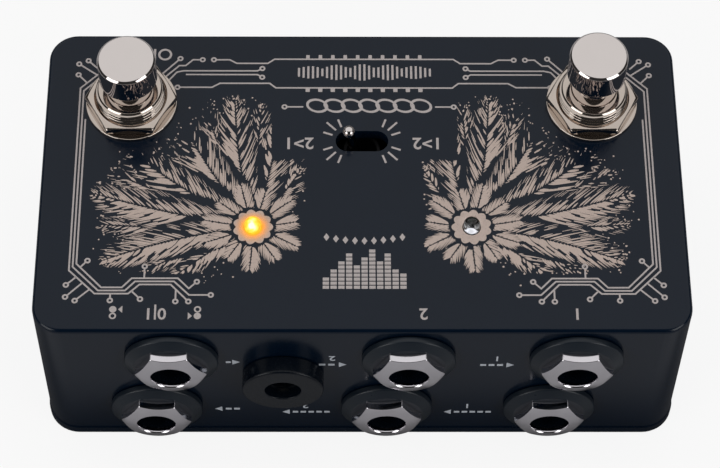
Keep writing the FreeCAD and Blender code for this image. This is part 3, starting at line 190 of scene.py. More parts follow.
class PedalStudio(bpy.types.PropertyGroup):
    """Floor, light and camera"""
    floor: colour("Floor", "Colour of the floor as the camera sees it", (0.95, 0.95, 0.95))
    bounce: colour("Bounce", "Colour of the floor in the light it throws back", (0.42, 0.42, 0.43))
    backdrop: share("Backdrop", "Brightness of the floor as the camera sees it", 1.0)
    room: share("Room", "Brightness of the dim room in front of the pedal", 0.03)
    mirrored: share("Mirrored", "Share of the bright backdrop that metal and gloss show", 0.05)
    # painted shade: the floor's bounce colour and its bright share in gloss are darkened beside the box's foot
    foot_shade: share("Foot shade", "Share of the bounced light that is left right beside the box", 0.3)
    ceiling: strength("Ceiling", "Radiance of the soft light overhead", 0.72)
    sides: strength("Sides", "Radiance of the two soft lights at the sides", 2.5)
    elevation: tilt("Elevation", "Height of the camera above the horizon", math.radians(60.0))
    azimuth: tilt("Azimuth", "Turn of the camera round the pedal", math.radians(-1.013))
    roll: tilt("Roll", "Turn of the camera about its own axis", math.radians(0.93))
    distance: length("Distance", "From the camera to the point it looks at", 0.458669)
    lens: FloatProperty(name="Lens", description="Focal length in millimetres", subtype="DISTANCE_CAMERA", min=1,
                        default=121.37)


# Shader nodes

def put(tree, kind, inputs=None, **settings):
    """Add a node, its kind given without ShaderNode in front, set it up, and fill or link its inputs."""
    made = tree.nodes.new(kind if kind.startswith("NodeGroup") else f"ShaderNode{kind}")
    for name, setting in settings.items():
        setattr(made, name, setting)
    for name, given in (inputs or {}).items():
        if isinstance(given, bpy.types.NodeSocket):
            tree.links.new(given, made.inputs[name])
        else:
            made.inputs[name].default_value = given
    return made


def calculate(tree, operation, *given):
    return put(tree, "Math", dict(enumerate(given)), operation=operation).outputs[0]


def vector(tree, operation, *given):
    return put(tree, "VectorMath", dict(enumerate(given)), operation=operation).outputs[0]


def distance(tree, given):
    return put(tree, "VectorMath", {0: given}, operation="LENGTH").outputs["Value"]


def object_point(tree):
    return put(tree, "TexCoord").outputs["Object"]


COLOUR, NUMBER = "NodeSocketColor", "NodeSocketFloat"
PATTERN_OUTPUTS = {"Color": COLOUR, "Roughness": NUMBER, "Height": NUMBER}
PATTERN_INPUTS = {
    "Color": (COLOUR, (0.5, 0.5, 0.5, 1.0)),
    "Second Color": (COLOUR, (0.5, 0.5, 0.5, 1.0)),
    "Roughness": (NUMBER, 0.4),
    "Spread": (NUMBER, 0.1),
    "Scale": (NUMBER, 1000.0),
}
LEAST_ROUGHNESS = 0.02


def start_pattern(name):
    """A node group with the sockets that every pattern has, and what its input node gives."""
    tree = bpy.data.node_groups.new(name, "ShaderNodeTree")
    for label, (kind, default) in PATTERN_INPUTS.items():
        tree.interface.new_socket(name=label, in_out="INPUT", socket_type=kind).default_value = default
    for label, kind in PATTERN_OUTPUTS.items():
        tree.interface.new_socket(name=label, in_out="OUTPUT", socket_type=kind)
    return tree, put(tree, "NodeGroupInput").outputs


def close_pattern(tree, given, colour_mask, rough_mask, height):
    """Mix the two colours by one mask, vary the roughness by another and pass on the height."""
    mixed = put(tree, "Mix", {"Factor": colour_mask, "A": given["Color"], "B": given["Second Color"]},
                data_type="RGBA")
    spread = calculate(tree, "MULTIPLY_ADD", rough_mask, given["Spread"], given["Roughness"])
    put(tree, "NodeGroupOutput", {"Color": mixed.outputs["Result"], "Height": height,
                                  "Roughness": calculate(tree, "MAXIMUM", spread, LEAST_ROUGHNESS)})
    return tree


def object_noise(tree, scale, detail=3.0):
    return put(tree, "TexNoise", {"Vector": object_point(tree), "Scale": scale, "Detail": detail}).outputs["Fac"]


def grain_pattern():
    """Cast, moulded or sprayed surface: broad patches of colour and a fine pebbled height."""
    tree, given = start_pattern("Surface Grain")
    broad = object_noise(tree, calculate(tree, "MULTIPLY", given["Scale"], 0.035))
    fine = object_noise(tree, given["Scale"], 2.0)
    dots = object_noise(tree, calculate(tree, "MULTIPLY", given["Scale"], 3.1), 1.0)
    height = calculate(tree, "MULTIPLY_ADD", dots, 0.35, fine)
    return close_pattern(tree, given, broad, calculate(tree, "SUBTRACT", fine, 0.5), height)


def turned_pattern():
    """Lathe marks: fine rings that follow the way round a turned piece, broken up along it."""
    tree, given = start_pattern("Turned Marks")
    stretched = vector(tree, "MULTIPLY", put(tree, "UVMap", uv_map="turned").outputs["UV"], (2.0, 1.0, 1.0))
    rings = put(tree, "TexNoise", {"Vector": stretched, "Scale": given["Scale"], "Detail": 2.0}).outputs["Fac"]
    return close_pattern(tree, given, object_noise(tree, 300.0, 2.0), calculate(tree, "SUBTRACT", rings, 0.5),
                         rings)


def ink_pattern():
    """Screen print: a mottled film with small specks where the coat shows through."""
    tree, given = start_pattern("Screen Print")
    fine = object_noise(tree, given["Scale"], 3.0)
    specks = put(tree, "MapRange", {"Value": fine, "From Min": 0.60, "From Max": 0.70}, clamp=True)
    return close_pattern(tree, given, specks.outputs["Result"], calculate(tree, "SUBTRACT", fine, 0.5), fine)


PATTERN_MAKERS = {"grain": grain_pattern, "turned": turned_pattern, "ink": ink_pattern}
PATTERNS = {}


def patterned(tree, kind, *values):
    """One of the shared patterns, made when it is first asked for, with a material's own values."""
    if kind not in PATTERNS:
        PATTERNS[kind] = PATTERN_MAKERS[kind]()
    return put(tree, "Group", dict(zip(PATTERN_INPUTS, values)), node_tree=PATTERNS[kind]).outputs


def opaque(tone):
    return (*tone, 1.0)


def tinted(base, factor):
    return tuple(min(1.0, c * factor) for c in base)


def emptied(owner):
    """The node tree of a new material or world, with nothing in it."""
    owner.use_nodes = True
    owner.node_tree.nodes.clear()
    return owner.node_tree


def principled(name, build):
    """A material with a Principled shader, whose inputs come from a function of its node tree."""
    made = bpy.data.materials.new(name)
    tree = emptied(made)
    surface = put(tree, "BsdfPrincipled", build(tree))
    put(tree, "OutputMaterial", {"Surface": surface.outputs["BSDF"]})
    return made


def finish(name, kind, base, second, roughness, spread, scale, relief, shader=None):
    """A material whose colour, roughness and bump come from one of the shared patterns."""
    def build(tree):
        group = patterned(tree, kind, opaque(base), opaque(second), roughness, spread, scale)
        bump = put(tree, "Bump", {"Height": group["Height"], "Strength": 1.0, "Distance": relief})
        return {"Base Color": group["Color"], "Roughness": group["Roughness"], "Normal": bump.outputs["Normal"],
                **(shader or {})}
    return principled(name, build)


MATERIALS = {}


def material(name):
    """One of the pedal's finishes, made when it is first asked for."""
    if name not in MATERIALS:
        MATERIALS[name] = FINISHES[name](bpy.context.scene.pedal_finish)
    return MATERIALS[name]


METAL = {"Metallic": 1.0}
SATIN = {"Specular IOR Level": 0.31}
GLOSS = {"Specular IOR Level": 0.38}


def plain(name, base, roughness, shader=None, scale=900.0, relief=0.00001, factor=1.25, spread=0.12,
          kind="grain"):
    """Entry for a finish whose second colour is a tint of the first, which may be a setting's name."""
    def make(settings):
        tone = getattr(settings, base) if isinstance(base, str) else base
        return finish(name, kind, tone, tinted(tone, factor), roughness, spread, scale, relief, shader)
    return make


FINISHES = {
    "coat": lambda f: finish("powder_coat", "grain", f.coat, tinted(f.coat, 1.3), f.coat_roughness, 0.16, 2600.0,
                             0.000005, SATIN),
    "cover": lambda f: finish("cover_coat", "grain", tinted(f.coat, 0.9), tinted(f.coat, 1.3),
                              f.coat_roughness + 0.1, 0.18, 2200.0, 0.000008, SATIN),
    "ink": plain("screen_print", "ink", 0.55, None, 7000.0, 0.000004, 0.55, 0.2, "ink"),
    "lines": plain("line_print", "lines", 0.55, None, 7000.0, 0.000004, 0.6, 0.2, "ink"),
    "label": plain("label_print", "label", 0.5, None, 7000.0, 0.000004, 0.8, 0.2, "ink"),
    "nickel": plain("nickel_plating", "nickel", 0.065, METAL, 2600.0, 0.0000005, 0.9, 0.06, "turned"),
    "chrome": plain("polished_chrome", "chrome", 0.04, METAL, 1500.0, 0.0000002, 0.97, 0.03, "turned"),
    "plating": plain("socket_nut_plating", "plating", 0.1, METAL, 3000.0, 0.000001, 0.9, 0.1, "turned"),
    "nylon": plain("black_nylon", "nylon", 0.25, {"Specular IOR Level": 0.27}, 3200.0, 0.000003, 1.8, 0.16),
    "washer": plain("washer_nylon", (0.009, 0.014, 0.021), 0.3, GLOSS, 2600.0, 0.000006),
    "screw": plain("black_zinc", (0.09, 0.09, 0.10), 0.35, METAL, 3000.0),
    "brass": plain("tinned_contact", (0.72, 0.66, 0.50), 0.3, METAL, 1500.0),
    "silver": plain("lamp_frame_silver", (0.82, 0.83, 0.86), 0.3, METAL, 5000.0, 0.000002, 0.9),
    "steel": plain("spring_wire", (0.55, 0.55, 0.57), 0.28, METAL, 4000.0),
    "switch_base": plain("switch_base_plastic", (0.02, 0.07, 0.24), 0.4),
    "laminate": plain("board_laminate", (0.015, 0.09, 0.04), 0.35, scale=700.0, factor=1.6),
    "vinyl": plain("ribbon_vinyl", (0.42, 0.42, 0.44), 0.5, scale=1200.0),
    # near-black plastic with little gloss; on the toggle bushing it is painted shade for the inside of the slot
    "toggle_body": plain("toggle_body_plastic", (0.003, 0.003, 0.0035), 0.5, {"Specular IOR Level": 0.15}),
    "resistor": plain("resistor_lacquer", (0.50, 0.40, 0.26), 0.3, scale=1800.0, factor=0.7),
    "diode": plain("diode_plastic", (0.015, 0.015, 0.015), 0.35),
    "capacitor": plain("capacitor_sleeve", (0.03, 0.04, 0.09), 0.25, scale=600.0),
}

# Which finish a CAD node wears, by the end of its name
NODE_FINISHES = [
    ("enclosure_body", "coat"), ("bottom_cover", "cover"), ("cover_screws", "screw"), ("_jack_housing", "nylon"),
    ("inlet_housing", "nylon"), ("inlet_nut", "nylon"), ("_tip_spring", "brass"), ("_sleeve_contact", "brass"),
    ("inlet_pin", "brass"), ("inlet_spring", "brass"), ("_terminals", "brass"), ("_leads", "brass"),
    ("_lugs", "brass"), ("_spring", "steel"), ("_base", "switch_base"), ("_board", "laminate"),
    ("cable_left", "vinyl"), ("cable_right", "vinyl"), ("toggle_body", "toggle_body"),
    # the bushing wears the near-black plastic in place of its metal: painted shade that keeps the toggle's slot dark
    # inside
    ("toggle_bushing", "toggle_body"),
    ("resistors", "resistor"), ("polarity_diode", "diode"), ("filter_capacitor", "capacitor"),
    ("jack_washers", "washer"), ("jack_nuts", "plating"), ("", "nickel"),
]


# Mesh making

def around(count):
    """Angles of a full turn in equal steps."""
    return [2 * math.pi * k / count for k in range(count)]


def polar(radius, angle, height=0.0):
    return Vector((radius * math.cos(angle), radius * math.sin(angle), height))


def add_object(name, data):
    made = bpy.data.objects.new(name, data)
    bpy.context.scene.collection.objects.link(made)
    return made


def add_mesh(name, bm, finish_name):
    """A mesh object from a bmesh, in one finish."""
    mesh = bpy.data.meshes.new(name)
    bm.to_mesh(mesh)
    bm.free()
    mesh.materials.append(material(finish_name) if isinstance(finish_name, str) else finish_name)
    return add_object(name, mesh)


def add_piece(name, bm, finish_name, stands_for=None, body="root", sharp=40.0, weighted=True):
    """Turn a bmesh into a piece that rides on a body and may stand for a CAD node."""
    if not bm.faces:
        raise RuntimeError(f"{name} has no faces")
    bmesh.ops.recalc_face_normals(bm, faces=bm.faces[:])
    piece = add_mesh(name, bm, finish_name)
    piece.data.polygons.foreach_set("use_smooth", [True] * len(piece.data.polygons))
    piece.data.set_sharp_from_angle(angle=math.radians(sharp))
    if weighted:
        piece.modifiers.new("even_shading", "WEIGHTED_NORMAL").keep_sharp = True
    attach(piece, body)
    if stands_for:
        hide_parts(stands_for)
    return piece


def upright(spot, z):
    """Matrix from millimetres about a vertical axis through a spot, from a height up, to metres."""
    return Matrix.Translation((spot.x, spot.y, z)) @ Matrix.Scale(MM, 4)


def outwards(spot, y):
    """Matrix from millimetres about an axis that points out of the front wall, from a Y on, to metres."""
    return Matrix.Translation((spot.x, y, spot.z)) @ Matrix.Rotation(math.radians(90), 4, "X") @ Matrix.Scale(MM, 4)


# Scale of the turned marks' map round a piece, along it and across a cap
MAP_ROUND, MAP_ALONG, MAP_CAP = 0.02, 100, 3


def skin(bm, rings, ends):
    """Join rings of points, whose ends are joined, capped or open, and lay the turned marks' map over them."""
    uv = bm.loops.layers.uv.get("turned") or bm.loops.layers.uv.new("turned")
    rows = [[bm.verts.new(p) for p in ring] for ring in rings]
    count = len(rows[0])
    travel, runs = 0.0, [0.0]
    for before, after in zip(rings, rings[1:] + rings[:1]):
        travel += (before[0] - after[0]).length * MAP_ALONG
        runs.append(travel)
    for i in range(len(rows) if ends == "joined" else len(rows) - 1):
        j = (i + 1) % len(rows)
        for k in range(count):
            n = (k + 1) % count
            face = bm.faces.new((rows[i][k], rows[i][n], rows[j][n], rows[j][k]))
            spots = ((k, i), (k + 1, i), (k + 1, i + 1), (k, i + 1))
            for loop, (across, along) in zip(face.loops, spots):
                loop[uv].uv = (across / count * MAP_ROUND, runs[along])
    for row in (rows[0], rows[-1]) if ends == "capped" else ():
        for loop in bm.faces.new(row).loops:
            loop[uv].uv = (0.0, loop.vert.co.x * MAP_CAP)


def rounded(profile, steps=3):
    """Swap each corner (radius, height, cut) for a short curve that starts that far from it."""
    points = []
    for i, (radius, height, *cut) in enumerate(profile):
        corner = Vector((radius, height))
        if not cut:
            points.append(corner)
            continue
        before = Vector(profile[i - 1][:2]) - corner
        after = Vector(profile[(i + 1) % len(profile)][:2]) - corner
        start = corner + before.normalized() * min(cut[0], before.length * 0.49)
        end = corner + after.normalized() * min(cut[0], after.length * 0.49)
        for step in range(steps + 1):
            t = step / steps
            points.append(start * (1 - t) ** 2 + corner * 2 * t * (1 - t) + end * t * t)
    return points


def lathe(bm, profile, at, ends="joined", segments=96, shape=None):
    """Turn a profile about the local Z axis; shape may change a radius by its height and angle."""
    skin(bm, [[at @ polar(shape(radius, height, a) if shape else radius, a, height) for a in around(segments)]
              for radius, height in profile], ends)


FAR = 99.0  # a radius beyond any nut, in millimetres
CORNER_SAMPLES = (-26, -20, -15, -11, -8, -5.5, -3.5, -2, -0.7, 0.7, 2, 3.5, 5.5, 8, 11, 15, 20, 26)


def hex_outline(flats, corners, turn):
    """Angle and radius of each point round a hexagon whose corners are turned off at a diameter."""
    return [(math.radians(60 * side + offset + turn),
             min(flats / 2 / math.cos(math.radians(30 - abs(offset))), corners / 2))
            for side in range(6) for offset in CORNER_SAMPLES]


def hex_nut(bm, at, outline, height, falls, edge, inside, both_faces=False):
    """Hex nut; falls lists (radius, slope) pairs where its faces begin to fall away, inside the bore's outline."""
    def drop(radius):
        return sum(max(0.0, radius - start) * slope for start, slope in falls)

    def face(reach, at_back):
        def rule(radius):
            r = min(radius - edge, reach)
            return r, drop(r) if at_back else height - drop(r)
        return rule

    reaches = [FAR] + [start for start, _ in reversed(falls)]
    rules = [face(reach, True) for reach in reaches[::-1]] if both_faces else [lambda r: (r - edge, 0.0)]
    rules.append(lambda r: (r, (drop(r) if both_faces else 0.0) + edge))
    rules.append(lambda r: (r, height - drop(r) - edge))
    rules += [face(reach, False) for reach in reaches]
    rules += [lambda r, p=p: p for p in inside]
    skin(bm, [[at @ polar(r, a, z) for a, (r, z) in ((a, rule(radius)) for a, radius in outline)]
              for rule in rules], "joined")


# Finishes of the CAD nodes that show as they are

class PEDAL_OT_node_finishes(bpy.types.Operator):
    """Give every CAD node its finish"""
    bl_idname = "pedal.node_finishes"
    bl_label = "Finish the solids"

    def execute(self, context):
        for name, solid in frame["nodes"].items():
            given = next(given for ending, given in NODE_FINISHES if name.endswith(ending))
            solid.data.materials.clear()
            solid.data.materials.append(material(given))
        return {"FINISHED"}


# Socket nuts and washers

class PEDAL_OT_sockets(bpy.types.Operator):
    """Build the six socket nuts and their washers"""
    bl_idname = "pedal.sockets"
    bl_label = "Socket hardware"

    def execute(self, context):
        nuts, washers = bmesh.new(), bmesh.new()
        flats, corners, edge = 10.65, 12.26, 0.05
        nut_reach, washer_reach = 6.5 * MM, 8.2 * MM
        for name, spot in SOCKETS.items():
            low, high = box_near("jack_nuts", spot.x, spot.z, nut_reach)
            height = (high.y - low.y) / MM
            mouth = [(3.42, height - 0.06), (3.34, height - 0.19), (3.29, height - 0.34), (3.27, height - 0.5),
                     (3.27, height - 0.7), (4.54, height - 0.72), (4.54, 0.1), (4.64, 0.0)]
            hex_nut(nuts, outwards(spot, high.y), hex_outline(flats, corners, NUT_TURNS[name]), height,
                    ((3.48, 0.158), (5.1, 0.38)), edge, mouth)
            low, high = box_near("jack_washers", spot.x, spot.z, washer_reach)
            height = (high.y - low.y) / MM
            lathe(washers, rounded([(4.65, 0.0), (8.0, 0.0, 0.12), (8.0, 1.0, 0.22), (6.4, height, 0.15),
                                    (4.65, height)]), outwards(spot, high.y))
        add_piece("socket_nuts", nuts, "plating", "jack_nuts", sharp=24)
        add_piece("socket_washers", washers, "washer", "jack_washers")
        return {"FINISHED"}


# Power inlet

class PEDAL_OT_power_inlet(bpy.types.Operator):
    """Build the power inlet with its rounded flange"""
    bl_idname = "pedal.power_inlet"
    bl_label = "Power inlet"

    def execute(self, context):
        low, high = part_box("power_inlet_housing")
        front = (high.y - low.y) / MM
        flange_back, step, floor = front - 3.1, front - 2.2, front - 9.5
        pin, thread, flange, mouth, bore = 1.02, 5.7, 7.0, 3.1, 2.85
        profile = rounded([
            (pin, 0.0), (thread, 0.0), (thread, flange_back), (flange, flange_back, 0.1), (flange, front, 0.45),
            (mouth, front, 0.22), (mouth, step), (bore, step), (bore, floor), (pin, floor)])
        inlet = bmesh.new()
        lathe(inlet, profile, outwards(MOUNTS["power_socket"], high.y))
        add_piece("power_inlet", inlet, "nylon", "power_inlet_housing")
        return {"FINISHED"}


# Footswitches

def square_radius(half, corner, angle):
    """Radius of a square with round corners at an angle."""
    low, high = sorted((abs(math.cos(angle)), abs(math.sin(angle))))
    reach = half - corner
    if half * low / high <= reach:
        return half / high
    along = reach * (low + high)
    return along + math.sqrt(max(0.0, along ** 2 - 2 * reach ** 2 + corner ** 2))


# Radii that mark the points of the square body, at its faces' edges and at its full width
SQUARE, BEVELLED = 100.0, 101.0
THREAD_ROWS, COIL_STEPS = 20, 28  # rings to a turn


class PEDAL_OT_footswitches(bpy.types.Operator):
    """Build the footswitch bushings, plungers, nuts and washers"""
    bl_idname = "pedal.footswitches"
    bl_label = "Footswitches"

    def execute(self, context):
        hardware = context.scene.pedal_hardware
        nuts, washers = bmesh.new(), bmesh.new()
        flats, corners = 14.0, 16.17
        for side, spot in SWITCHES.items():
            self.frame(side, spot, hardware)
            self.plunger(side, spot, hardware)
            self.spring(side, spot, hardware)
            foot, height = foot_and_height("footswitch_nuts")
            hex_nut(nuts, upright(spot, foot), hex_outline(flats, corners, 0.0), height, ((6.8, 0.4),),
                    hardware.edge / MM, [(6.42, height), (6.05, height - 0.34), (6.05, 0.3), (6.3, 0.0)], True)
            foot, height = foot_and_height("footswitch_washers")
            lathe(washers, rounded([(6.15, 0.0), (8.0, 0.0, 0.08), (8.0, height, 0.16), (6.15, height, 0.05)]),
                  upright(spot, foot))
        add_piece("switch_nuts", nuts, "nickel", "footswitch_nuts")
        add_piece("switch_washers", washers, "nickel", "footswitch_washers")
        return {"FINISHED"}

    def frame(self, side, spot, hardware):
        """Threaded bushing on the hollow square body, as one closed skin."""
        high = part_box(f"footswitch_{side}_frame")[1]
        top, foot, bore, crest = 12.0, -6.0, 3.98, 6.0
        pitch, depth = hardware.thread_pitch / MM, hardware.thread_depth / MM
        thread_top, thread_foot = top - 0.32, 8.8
        rows = int((thread_top - thread_foot) / pitch * THREAD_ROWS)
        thread = [(crest, thread_top - (thread_top - thread_foot) * i / rows) for i in range(rows + 1)]
        head = rounded([(bore, top - 0.3), (bore, top, 0.1), (5.42, top, 0.05), (5.7, top - 0.28, 0.04),
                        (5.62, thread_top + 0.02)])
        body = [(5.75, thread_foot - 0.05), (5.75, 0.02), (SQUARE, 0.0), (BEVELLED, -0.12),
                (BEVELLED, foot + 0.12), (SQUARE, foot), (5.7, foot), (5.7, -2.0), (bore, -2.0)]

        def shape(radius, height, angle):
            if radius in (SQUARE, BEVELLED):
                return square_radius(8.3, 1.2, angle) - (0.12 if radius == SQUARE else 0.0)
            if radius == crest:
                turn = (height / pitch - angle / (2 * math.pi)) % 1.0
                ridge = abs(2 * turn - 1)
                return min(radius, 5.7 + thread_top - height) - depth * min(1.0, max(0.0, ridge * 1.3 - 0.15))
            return radius

        bushing = bmesh.new()
        lathe(bushing, [*head, *thread, *body], upright(spot, high.z - top * MM), shape=shape)
        add_piece(f"switch_bushing_{side}", bushing, "nickel", f"footswitch_{side}_frame",
                  sharp=50)

    def plunger(self, side, spot, hardware):
        """Cap, stem and foot as one turned piece."""
        ground, top = foot_and_height(f"footswitch_{side}_plunger")
        foot, stem, cap, cap_foot, cut = 5.2, 3.9, 5.05, top - 5.6, hardware.cap_round / MM
        profile = rounded([
            (foot, 0.0, 0.1), (foot, 1.2, 0.1), (stem, 1.2), (stem, cap_foot, 0.1), (cap, cap_foot, 0.25),
            (cap, top - cut, 0.12), (cap - cut, top, 0.1), (4.2, top)], 4)
        plunger = bmesh.new()
        lathe(plunger, profile, upright(spot, ground), "capped", 128)
        add_piece(f"switch_plunger_{side}", plunger, "chrome", f"footswitch_{side}_plunger",
                  body=f"plunger_{side}")

    def spring(self, side, spot, hardware):
        """Coil of the return spring."""
        low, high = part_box(f"footswitch_{side}_spring")
        wire = hardware.spring_wire / MM / 2
        reach, rise = (high.x - low.x) / MM / 2 - wire, (high.z - low.z) / MM - 2 * wire
        steps = int(rise / (hardware.spring_pitch / MM) * COIL_STEPS)
        at = upright(spot, low.z)
        rings = []
        for step in range(steps + 1):
            out = polar(1.0, 2 * math.pi * step / COIL_STEPS)
            centre = out * reach + Vector((0.0, 0.0, wire + rise * step / steps))
            rings.append([at @ (centre + out * wire * math.cos(a) + Vector((0.0, 0.0, wire * math.sin(a))))
                          for a in around(10)])
        coil = bmesh.new()
        skin(coil, rings, "capped")
        spring = add_piece(f"return_spring_{side}", coil, "steel", f"footswitch_{side}_spring",
                           weighted=False)
        joint = next(j for j in frame["joints"] if j["name"] == f"footswitch_{side}_press")
        travel = max(abs(limit) for limit in joint["range_m"])
        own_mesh(spring)


# Toggle lever

class PEDAL_OT_toggle(bpy.types.Operator):
    """Build the toggle lever with its smooth tip"""
    bl_idname = "pedal.toggle"
    bl_label = "Toggle lever"

    def execute(self, context):
        lean, tip, reach, segments = math.radians(-10.0), 1.1, 13.2, 48
        profile = [Vector(point) for point in ((0.7, -3.0), (0.7, -0.2), (0.95, 0.0), (0.95, 3.2),
                                               (0.75, reach - 2.4), (0.78, reach - 1.2))]
        start = math.asin(0.82 / tip)
        for step in range(13):
            angle = math.pi - start - (math.pi - start - 0.12) * step / 12
            profile.append(Vector((tip * math.sin(angle), reach + tip * math.cos(angle))))
        at = Matrix.Translation(PIVOT) @ Matrix.Rotation(lean, 4, "Y") @ Matrix.Scale(MM, 4)
        lever = bmesh.new()
        lathe(lever, profile, at, "capped", segments)
        lathe(lever, rounded([(0.64, -1.2), (1.6, -1.2, 0.15), (1.6, 1.2, 0.15), (0.64, 1.2)]),
              at @ Matrix.Rotation(math.radians(90), 4, "X"), segments=segments)
        add_piece("toggle_stem", lever, "chrome", "toggle_lever", body="toggle_lever")
        return {"FINISHED"}


# Lamps

def clear_lens():
    """Clear resin."""
    def build(tree):
        group = patterned(tree, "grain", (0.93, 0.94, 0.97, 1.0), (0.97, 0.97, 0.99, 1.0), 0.03, 0.02, 1200.0)
        return {"Base Color": group["Color"], "Roughness": group["Roughness"], "IOR": 1.5,
                "Transmission Weight": 1.0}
    return principled("lamp_right_lens", build)


# Colours of the lit lamp, by the share of its radius that they lie away from the hot spot
HEAT = {0.17: (1.0, 0.98, 0.84), 0.33: (1.0, 0.88, 0.24), 0.52: (1.0, 0.66, 0.05), 0.76: (0.93, 0.36, 0.01)}


def lit_lens(lamps, hot):
    """Amber resin lit from inside: white hot at one spot of the dome, yellow and then orange away from it."""
    squeeze, flicker, cool = (1.35, 1.0, 1.0), 0.0022, 0.0026

    def build(tree):
        here = object_point(tree)
        away = distance(tree, vector(tree, "MULTIPLY", vector(tree, "SUBTRACT", here, hot), squeeze))
        noise = put(tree, "TexNoise", {"Vector": here, "Scale": 1150.0, "Detail": 1.0}).outputs["Fac"]
        spread = calculate(tree, "MULTIPLY_ADD", calculate(tree, "SUBTRACT", noise, 0.5), flicker, away)
        ramp = put(tree, "ValToRGB", {"Fac": calculate(tree, "DIVIDE", spread, cool)})
        stops = ramp.color_ramp.elements
        while len(stops) < len(HEAT):
            stops.new(0.5)
        for stop, (where, tone) in zip(stops, HEAT.items()):
            stop.position, stop.color = where, opaque(tone)
        return {"Base Color": opaque(lamps.glow), "Roughness": calculate(tree, "MULTIPLY_ADD", noise, 0.1, 0.05),
                "Emission Color": ramp.outputs["Color"], "Emission Strength": lamps.core}
    return principled("lamp_left_lens", build)


def spill_light(lamps):
    """Light on the panel round the lit lamp, fading outwards."""
    falloff, patchy, least = 2.2, 0.5, 0.4

    def build(tree):
        along = put(tree, "SeparateXYZ", {"Vector": put(tree, "UVMap", uv_map="turned").outputs["UV"]})
        fade = calculate(tree, "POWER", calculate(tree, "SUBTRACT", 1.0, along.outputs["Y"]), falloff)
        patches = calculate(tree, "MULTIPLY_ADD", object_noise(tree, 900.0, 2.0), patchy, least)
        return {"Base Color": opaque(lamps.glow), "Roughness": 0.9,
                "Alpha": calculate(tree, "MULTIPLY", fade, patches),
                "Emission Color": opaque(lamps.glow), "Emission Strength": lamps.spill}
    return principled("lamp_spill", build)


class PEDAL_OT_lamps(bpy.types.Operator):
    """Build the two lamps, one lit and one clear"""
    bl_idname = "pedal.lamps"
    bl_label = "Lamps"

    def execute(self, context):
        lamps = context.scene.pedal_lamps
        radius, rim, dome_steps = 1.5, 1.9, 13
        for side, spot in LAMPS.items():
            low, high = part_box(f"lamp_{side}")
            shoulder = (high.z - low.z) / MM - radius
            profile = rounded([(rim, 0.0), (rim, 1.0, 0.1), (radius, 1.0), (radius, shoulder)])
            profile += [Vector((radius * math.cos(a), shoulder + radius * math.sin(a)))
                        for a in (math.pi / 2 * i / dome_steps for i in range(1, dome_steps))]
            lamp = bmesh.new()
            lathe(lamp, profile, upright(spot, low.z), "capped", 48)
            lit = side == "left"
            hot = Vector((spot.x - 0.22 * MM, spot.y - 0.78 * MM, high.z - 0.25 * MM))
            add_piece(f"lamp_lens_{side}", lamp, lit_lens(lamps, hot) if lit else clear_lens(),
                      f"lamp_{side}", weighted=False)
        self.cup(LAMPS["right"])
        self.spill(LAMPS["left"], lamps)
        return {"FINISHED"}

    def cup(self, spot):
        """Silver cup inside the clear lamp."""
        cup = bmesh.new()
        profile = rounded([(0.24, 0.3), (0.24, 2.2), (0.52, 2.45, 0.06), (0.52, 2.95, 0.04), (0.42, 2.95, 0.04),
                           (0.16, 2.6, 0.04)])
        lathe(cup, profile, upright(spot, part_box("lamp_right")[0].z), "capped", 32)
        add_piece("lamp_cup_right", cup, "silver", weighted=False)

    def spill(self, spot, lamps):
        """Thin ring on the panel that carries the lit lamp's light, mapped by the way out from the lamp."""
        inner, wide, steps, lift = 1.55, 1.9, 8, 0.06
        spill = bmesh.new()
        skin(spill, [[on_panel(spot.x / MM + reach * math.cos(a), spot.y / MM + reach * math.sin(a), lift)
                      for a in around(48)] for reach in (inner + wide * step / steps for step in range(steps + 1))],
             "open")
        layer = spill.loops.layers.uv["turned"]
        for loop in (loop for face in spill.faces for loop in face.loops):
            reach = math.hypot(loop.vert.co.x - spot.x, loop.vert.co.y - spot.y) / MM
            loop[layer].uv = (0.0, (reach - inner) / wide)
        add_piece("lamp_spill", spill, spill_light(lamps), weighted=False)


# Printed decoration

INK_FOOT = -0.004  # where the printed plates start, a little under the coat, in millimetres


